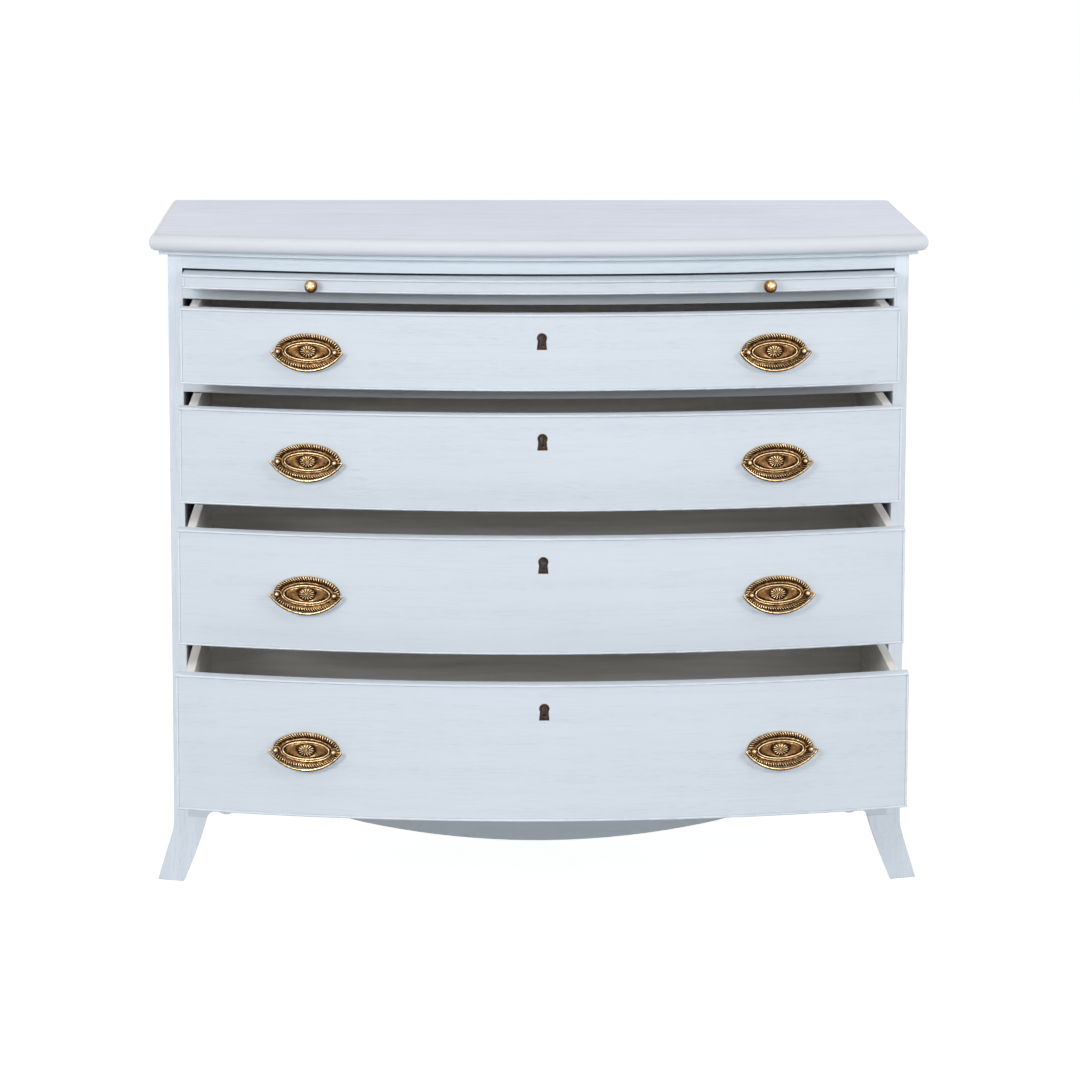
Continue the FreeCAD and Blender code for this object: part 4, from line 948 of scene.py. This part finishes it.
@dataclass(frozen=True)
class TurnedPost:
    """Post of a handle: a ball on a short neck, a collar on the plate, and a shank through the
    drawer front to a round nut."""

    ball_mm: float = 8.2
    reach_mm: float = 9.0
    neck_mm: float = 4.8
    collar_mm: float = 9.0
    collar_seat_mm: float = 3.9
    shank_mm: float = 4.9
    nut_seat_mm: float = 21.7
    nut_mm: float = 11.0
    nut_height_mm: float = 3.5
    tail_mm: float = 1.9
    neck_degrees: float = 143.0
    ball_steps: int = 22
    sides: int = 36

    def patches(self) -> list[Patch]:
        """The post and its nut. The drawer's face is at y = 0 and the ball is at -reach."""
        return [self.post(), self.nut()]

    def post(self) -> Patch:
        """Turns a profile from the front of the ball to the end of the shank.

        Returns:
            The closed patch, in metres.
        """
        ball = arc_profile(self.ball_mm / 2, -self.reach_mm, 0, self.neck_degrees, self.ball_steps)
        neck, collar, shank = self.neck_mm / 2, self.collar_mm / 2, self.shank_mm / 2
        seat, tail = -self.collar_seat_mm, self.nut_seat_mm + self.nut_height_mm + self.tail_mm
        rest = [
            (neck, -5.4),
            (neck + 0.2, seat - 1.15),
            (collar - 0.4, seat - 1.1),
            (collar, seat - 0.75),
            (collar, seat - 0.15),
            (collar - 0.2, seat),
            (shank, seat),
            (shank, tail - 0.5),
            (shank - 0.5, tail),
            (0.0, tail),
        ]
        # the ball's patina includes its painted highlight and shade
        patina_and_painted_light = [*painted_ball_sheen(len(ball)), DARK, DARK, 0.5, 0.25, 0.5, 0.8, 0.8, 0.5, 0.5, 0.5]
        return turned([*map(tuple, ball), *rest], patina_and_painted_light, self.sides)

    def nut(self) -> Patch:
        """Turns the domed round nut against the inside of the drawer front.

        Returns:
            The closed patch, in metres.
        """
        half, start, end = self.nut_mm / 2, self.nut_seat_mm, self.nut_seat_mm + self.nut_height_mm
        profile = [
            (0.0, start),
            (half - 0.4, start),
            (half, start + 0.4),
            (half, end - 1.2),
            (half - 0.7, end - 0.4),
            (half - 2.0, end),
            (0.0, end),
        ]
        return turned(profile, [0.6, 0.6, 0.4, 0.3, 0.3, 0.4, 0.5], self.sides)


@dataclass(frozen=True)
class BallKnob:
    """Turned ball knob of the brushing slide, with a cove and a bead under the ball."""

    ball_mm: float = 16.5
    reach_mm: float = 13.5
    collar_mm: float = 10.5
    neck_mm: float = 6.5
    screw_mm: float = 3.8
    screw_length_mm: float = 20.0
    neck_degrees: float = 152.0
    # share of the painted highlight and shade on the knob's ball
    painted_sheen_share: float = 0.8
    ball_steps: int = 30
    sides: int = 48

    def patch(self) -> Patch:
        """Turns a profile from the front of the ball to the end of the screw.

        Returns:
            The closed patch, in metres.
        """
        ball = arc_profile(self.ball_mm / 2, -self.reach_mm, 0, self.neck_degrees, self.ball_steps)
        neck, collar, screw = self.neck_mm / 2, self.collar_mm / 2, self.screw_mm / 2
        rest = [
            (neck + 0.35, -5.3),
            (neck + 0.1, -4.4),
            (neck + 0.5, -3.6),
            (neck + 1.3, -3.2),
            (neck + 1.45, -2.8),
            (neck + 1.3, -2.4),
            (collar - 0.5, -2.0),
            (collar, -1.5),
            (collar, -0.5),
            (collar - 0.3, -0.1),
            (screw, -0.1),
            (screw, self.screw_length_mm),
            (0.0, self.screw_length_mm),
        ]
        # painted highlight and shade on the ball, scaled
        ball_painted_sheen = self.painted_sheen_share * painted_ball_sheen(len(ball))
        foot_dirt = [0.8, 0.8, 0.5, 0.2, 0.1, 0.4, 0.5, 0.2, 0.4, 0.7, 0.7, 0.7, 0.7]
        return turned([*map(tuple, ball), *rest], [*ball_painted_sheen, *foot_dirt], self.sides)


# ---------------------------------------------------------------- sub-assemblies


@dataclass
class Finishes:
    """Every finish of the chest, built once."""

    boards: dict[Grain, bpy.types.Material]
    top: bpy.types.Material
    rails: bpy.types.Material
    beads: bpy.types.Material
    linings: dict[Grain, bpy.types.Material]
    brass: bpy.types.Material
    knob_brass: bpy.types.Material
    insert: bpy.types.Material

    @classmethod
    def make(cls) -> "Finishes":
        """Builds the paints, the limed oak and the metals.

        Returns:
            The finishes.
        """
        name = "eggshell_paint_on_oak"
        boards = {
            Grain.BOWED: PaintedOak(f"{name}_fronts", Grain.BOWED).material(),
            # painted light: the sides, stiles and feet take a lighter copy of the fronts' paint
            Grain.UPRIGHT: PaintedOak(f"{name}_sides", Grain.UPRIGHT, "#E5EDF6", contrast=0.6).material(),
        }
        linings = {
            grain: LimedOak(f"limed_oak_{grain.name.lower()}", grain).material()
            for grain in (Grain.ACROSS, Grain.UPRIGHT, Grain.DEEP)
        }
        return cls(
            boards=boards,
            # painted light: the top takes a lighter, more lavender copy of the same paint
            top=PaintedOak(f"{name}_top", Grain.ACROSS, "#E6EAF8", contrast=1.0, roughness=0.58).material(),
            # painted light: the frieze, moulding and slide rail take a lighter copy, against the shade
            # under the top's overhang
            rails=PaintedOak(f"{name}_rails", Grain.BOWED, "#DEE7ED").material(),
            # painted highlight: the cock beads take a paler copy of the same paint
            beads=PaintedOak("eggshell_paint_on_cock_beads", Grain.BOWED, "#DEE4EC").material(),
            linings=linings,
            brass=AgedBrass("aged_pressed_brass").material(),
            knob_brass=AgedBrass("rubbed_cast_brass", "#F6DDB6", "#A97B48").material(),
            insert=BrownedBrass("browned_brass_insert").material(),
        )


def dress(frame: Mapping[str, Any], node: str, material: bpy.types.Material) -> None:
    """Gives a CAD node its finish and reports it.

    Args:
        frame: the loaded frame.
        node: name of the node.
        material: the finish.
    """
    piece = frame["nodes"][node]
    piece.data.materials.clear()
    piece.data.materials.append(material)
    LOG.info("%s: %s", node, material.name)


@dataclass(frozen=True)
class TopBoard:
    """Top board: bowed in front, nosed on its front and two sides, square at the back.

    The flat of the top starts flat_share nosing radii in from the edge, and the sanded edge
    fades into it over the last fade_share of one.
    """

    half_width: float = 0.5
    corner_line: float = -0.0725
    bow: float = 0.081
    back: float = 0.3935
    floor: float = 0.833
    thickness: float = 0.022
    nosing: float = 0.010
    flat_share: float = 1.05
    fade_share: float = 0.25
    front_steps: int = 161
    side_steps: int = 32
    nosing_steps: int = 10

    def patch(self) -> Patch:
        """Nested outlines carried round the nosing, closed by a point on top and one below.

        A row set in by d is the arc of the front with d less radius, x from -(w - d) to w - d,
        the two sides at x = -(w - d) and w - d, and the back, which is never set in.

        Returns:
            The closed patch. Its patina says where the edge is rounded and sanded.
        """
        inset, height, reach, rounded = self.profile()
        half, radius = self.half_width - inset, (self.half_width**2 + self.bow**2) / (2 * self.bow)
        across = half * np.linspace(-1, 1, self.front_steps)
        front = self.corner_line - self.bow + radius - np.sqrt((radius - inset) ** 2 - across**2)
        share = np.linspace(0, 1, self.side_steps)[1:]
        side = front[:, -1:] + (self.back - front[:, -1:]) * share
        behind = half * np.linspace(1, -1, self.side_steps)[1:-1]
        x = np.hstack([across, half + 0 * side, behind, -half + 0 * side])
        y = np.hstack([front, side, self.back + 0 * behind, side[:, ::-1]])
        middle = self.back / 2
        z = self.floor + height + 0 * x
        points = np.stack([x * reach, middle + (y - middle) * reach, z], axis=-1)
        return Patch(points, rounded + 0 * x)

    def profile(self) -> tuple[np.ndarray, ...]:
        """Works out the section from the middle of the top over the nosing to the middle of
        the underside. Each quarter of the nosing is an arc.

        Returns:
            Columns of inset, height, reach from the middle and roundness.
        """
        turn = np.linspace(0, math.pi / 2, self.nosing_steps)
        drop = self.nosing * (1 - np.cos(turn))
        upper = np.stack([self.nosing * (1 - np.sin(turn)), self.thickness - drop])
        lower = np.stack([upper[0], self.thickness - upper[1]])[:, ::-1]
        flat = self.flat_share * self.nosing
        over = np.array([[flat, flat], [self.thickness, self.thickness]])
        under = np.array([[flat, flat], [0.0, 0.0]])
        inset, height = np.hstack([over, upper, lower, under])
        reach = np.ones_like(inset)
        reach[[0, -1]] = 0
        rounded = np.clip((flat - inset) / (self.fade_share * self.nosing), 0, 1)
        return tuple(column[:, None] for column in (inset, height, reach, rounded))


@dataclass
class Case:
    """The case: top, sides, rails, apron, feet and what the drawers run on."""

    frame: Mapping[str, Any]
    finishes: Finishes

    def build(self) -> None:
        """Shapes the top and dresses every other board with grain along its length."""
        # painted light: the top is dressed in the lighter top copy of the paint
        top = make_piece("top_board_nosed", [TopBoard().patch()], self.finishes.top)
        stand_in(top, "top_board", "case")
        # painted light: these three take the lighter rails copy of the paint
        for node in ("top_moulding", "frieze_rail", "slide_rail"):
            dress(self.frame, node, self.finishes.rails)
        painted = {
            Grain.BOWED: ("drawer_rails", "front_apron"),
            # painted light: the upright boards take the lighter sides copy of the paint
            Grain.UPRIGHT: ("left_side", "right_side", "front_feet", "back_feet"),
        }
        for grain, nodes in painted.items():
            for node in nodes:
                dress(self.frame, node, self.finishes.boards[grain])
        bare = {
            Grain.UPRIGHT: ("back_panel", "corner_blocks"),
            Grain.ACROSS: ("bottom_board", "drawer_stops"),
            Grain.DEEP: ("drawer_runners", "slide_bearers"),
        }
        for grain, nodes in bare.items():
            for node in nodes:
                dress(self.frame, node, self.finishes.linings[grain])


@dataclass
class Handle:
    """One handle: plate, two posts and a bail, placed by the hinge of its bail."""

    frame: Mapping[str, Any]
    finishes: Finishes
    drawer: str
    side: str
    post_spacing: float = 0.073
    plate: OvalPlate = OvalPlate()
    post: TurnedPost = TurnedPost()
    bail: DropBail = DropBail()

    @property
    def joint(self) -> Mapping[str, Any]:
        """The bail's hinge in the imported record."""
        name = f"{self.drawer}_drawer_{self.side}_bail_swing"
        return next(joint for joint in self.frame["joints"] if joint["name"] == name)

    @property
    def axes(self) -> tuple[Vector, Vector, Vector]:
        """Along the plate, into the wood, and up. The hinge's axis points against the first."""
        along = -Vector(self.joint["axis"]).normalized()
        return along, Vector((-along.y, along.x, 0.0)), Vector((0.0, 0.0, 1.0))

    @property
    def pivot(self) -> Vector:
        """Middle of the hinge, between the two balls."""
        return Vector(self.joint["pos_m"])

    def on_face(self, along: float = 0.0) -> Vector:
        """Point of the drawer's face behind the hinge, moved along the plate."""
        axes = self.axes
        return self.pivot + axes[1] * (self.post.reach_mm * MM) + axes[0] * along

    def plate_patches(self) -> list[Patch]:
        """The plate in the chest's frame."""
        return [self.plate.patch().moved(self.on_face(), self.axes)]

    def post_patches(self) -> list[Patch]:
        """Places both posts and their nuts.

        Returns:
            Their patches in the chest's frame.
        """
        placed = []
        for end in (-0.5, 0.5):
            foot = self.on_face(end * self.post_spacing)
            placed += [patch.moved(foot, self.axes) for patch in self.post.patches()]
        return placed

    def make_bail(self) -> None:
        """Makes the bail, which rides on its own body."""
        body = f"{self.drawer}_drawer_{self.side}_bail"
        patches = [patch.moved(self.pivot, self.axes) for patch in self.bail.patches()]
        stand_in(make_piece(f"{body}_cast", patches, self.finishes.brass), body, body)


def stand_in(piece: bpy.types.Object, node: str, body: str) -> None:
    """Lets a new piece stand for a CAD node, which is hidden, and ride on its body.

    Args:
        piece: the new piece.
        node: CAD node that it replaces.
        body: body that it rides on.
    """
    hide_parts(node)
    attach(piece, body)
    LOG.info("%s stands for %s on %s: %d faces", piece.name, node, body, len(piece.data.polygons))


@dataclass
class Drawer:
    """One drawer: its painted front, cock beads, limed box, keyhole insert and two handles."""

    frame: Mapping[str, Any]
    finishes: Finishes
    name: str

    def build(self) -> None:
        """Dresses the CAD nodes and makes the brass."""
        title = f"{self.name}_drawer"
        coats = {
            "front": self.finishes.boards[Grain.BOWED],
            # painted highlight: the beads take the paler bead copy of the paint
            "cock_beads": self.finishes.beads,
            "sides": self.finishes.linings[Grain.DEEP],
            "back": self.finishes.linings[Grain.ACROSS],
            "bottom": self.finishes.linings[Grain.DEEP],
            "keyhole": self.finishes.insert,
        }
        for part, coat in coats.items():
            dress(self.frame, f"{title}_{part}", coat)
        handles = [Handle(self.frame, self.finishes, self.name, side) for side in SIDES]
        plates = [patch for handle in handles for patch in handle.plate_patches()]
        posts = [patch for handle in handles for patch in handle.post_patches()]
        brass = self.finishes.brass
        for patches, node in ((plates, f"{title}_handle_plates"), (posts, f"{title}_handle_posts")):
            stand_in(make_piece(f"{node}_brass", patches, brass), node, title)
        for handle in handles:
            handle.make_bail()


@dataclass
class BrushingSlide:
    """The slide above the top drawer: a painted board, its cock beads and two ball knobs."""

    frame: Mapping[str, Any]
    finishes: Finishes
    bow: Bow = Bow()
    knob: BallKnob = BallKnob()
    knob_x: float = 0.288
    pulled_out: float = 0.052

    def build(self) -> None:
        """Dresses the board and beads and makes the knobs at the level of their CAD node."""
        dress(self.frame, "slide_board", self.finishes.boards[Grain.BOWED])
        # painted highlight: the beads take the paler bead copy of the paint
        dress(self.frame, "slide_cock_beads", self.finishes.beads)
        low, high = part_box("slide_knobs")
        level = Vector((0.0, 0.0, (low.z + high.z) / 2))
        knobs = []
        for x in (-self.knob_x, self.knob_x):
            foot = self.bow.face_at(x, self.pulled_out) + level
            knobs.append(self.knob.patch().moved(foot, self.bow.axes_at(x)))
        piece = make_piece("slide_knobs_turned", knobs, self.finishes.knob_brass)
        stand_in(piece, "slide_knobs", "brushing_slide")


# ---------------------------------------------------------------- studio


@dataclass(frozen=True)
class SoftBox:
    """Square area lamp that faces a point."""

    name: str
    place: tuple[float, float, float]
    target: tuple[float, float, float]
    size: float
    watts: float

    def build(self) -> None:
        """Makes the lamp and turns it to its target."""
        lamp = bpy.data.lights.new(self.name, "AREA")
        lamp.shape = "SQUARE"
        lamp.size = self.size
        lamp.energy = self.watts
        holder = bpy.data.objects.new(self.name, lamp)
        holder.location = self.place
        aim = Vector(self.target) - Vector(self.place)
        holder.rotation_euler = aim.to_track_quat("-Z", "Y").to_euler()
        bpy.context.scene.collection.objects.link(holder)


@dataclass(frozen=True)
class Studio:
    """Pale floor, soft lamps, a white surround and the camera."""

    world_strength: float = 0.35
    floor_half: float = 14.0
    lamps: tuple[SoftBox, ...] = (
        SoftBox("left_soft_box", (-2.5, -4.1, 2.1), (0.0, 0.0, 0.45), 1.5, 86.0),
        SoftBox("right_soft_box", (3.2, -3.4, 2.0), (0.0, 0.0, 0.45), 1.6, 60.0),
        SoftBox("front_soft_box", (0.8, -5.2, 1.3), (0.0, 0.0, 0.45), 1.6, 20.0),
        SoftBox("overhead_soft_box", (0.0, -1.2, 3.4), (0.0, 0.0, 0.6), 2.2, 19.0),
        SoftBox("back_left_soft_box", (-2.6, 3.8, 2.2), (0.0, 0.0, 0.45), 1.8, 50.0),
        SoftBox("back_right_soft_box", (2.6, 3.8, 2.2), (0.0, 0.0, 0.45), 1.8, 50.0),
    )

    def build(self) -> None:
        """Makes the whole studio."""
        self.make_world()
        self.make_floor()
        for lamp in self.lamps:
            lamp.build()
        bpy.context.scene.view_settings.view_transform = "Standard"

    def make_world(self) -> None:
        """White surround for the eye and for metal, and a plain softer light for the rest."""
        world = bpy.data.worlds.new("studio_surround")
        bpy.context.scene.world = world
        world.use_nodes = True
        tree = world.node_tree
        tree.nodes.clear()
        light = add_node(tree, "Background", {"Color": linear("#FFFFFF"), "Strength": self.world_strength})
        seen = add_node(tree, "Background", {"Color": linear("#FFFFFF"), "Strength": 1.0})
        shaders = {0: seen_rays(tree), 1: light.outputs["Background"], 2: seen.outputs["Background"]}
        both = add_node(tree, "MixShader", shaders)
        add_node(tree, "OutputWorld", {"Surface": both.outputs["Shader"]})

    def make_floor(self) -> None:
        """Large flat sheet of paper at z = 0: four corners of a square."""
        mesh = bpy.data.meshes.new("studio_floor")
        half = self.floor_half
        square = np.array([[-half, -half, 0], [half, -half, 0], [half, half, 0], [-half, half, 0]])
        mesh.from_pydata(square.tolist(), [], [(0, 1, 2, 3)])
        mesh.materials.append(StudioFloor("white_paper_sweep").material())
        floor = bpy.data.objects.new("studio_floor", mesh)
        bpy.context.scene.collection.objects.link(floor)


@dataclass(frozen=True)
class ViewPoint:
    """Camera a little left of the middle and above the top, looking down."""

    place: tuple[float, float, float] = (-0.1290, -5.6965, 1.4246)
    down_degrees: float = 9.76
    right_degrees: float = 1.33
    roll_degrees: float = 0.145
    lens_mm: float = 146.67
    sensor_mm: float = 36.0
    far: float = 100.0

    def build(self) -> None:
        """Makes the camera: its axes are the level axes pitched down, swung right and rolled."""
        down = math.radians(self.down_degrees)
        right = math.radians(self.right_degrees)
        roll = math.radians(self.roll_degrees)
        ahead = math.cos(down)
        forward = Vector((math.sin(right) * ahead, math.cos(right) * ahead, -math.sin(down)))
        level = Vector((math.cos(right), -math.sin(right), 0.0))
        upward = level.cross(forward)
        across = level * math.cos(roll) + upward * math.sin(roll)
        up = upward * math.cos(roll) - level * math.sin(roll)
        data = bpy.data.cameras.new("camera")
        data.lens = self.lens_mm
        data.sensor_width = self.sensor_mm
        data.clip_end = self.far
        camera = bpy.data.objects.new("camera", data)
        turn = Matrix((across, up, -forward)).transposed().to_4x4()
        camera.matrix_world = Matrix.Translation(self.place) @ turn
        bpy.context.scene.collection.objects.link(camera)
        bpy.context.scene.camera = camera


# ---------------------------------------------------------------- main


def main() -> None:
    logging.basicConfig(level=logging.INFO, format="%(name)s: %(message)s")
    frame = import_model()
    finishes = Finishes.make()
    Case(frame, finishes).build()
    for name in DRAWERS:
        Drawer(frame, finishes, name).build()
    BrushingSlide(frame, finishes).build()
    Studio().build()
    ViewPoint().build()


if __name__ == "__main__":
    main()
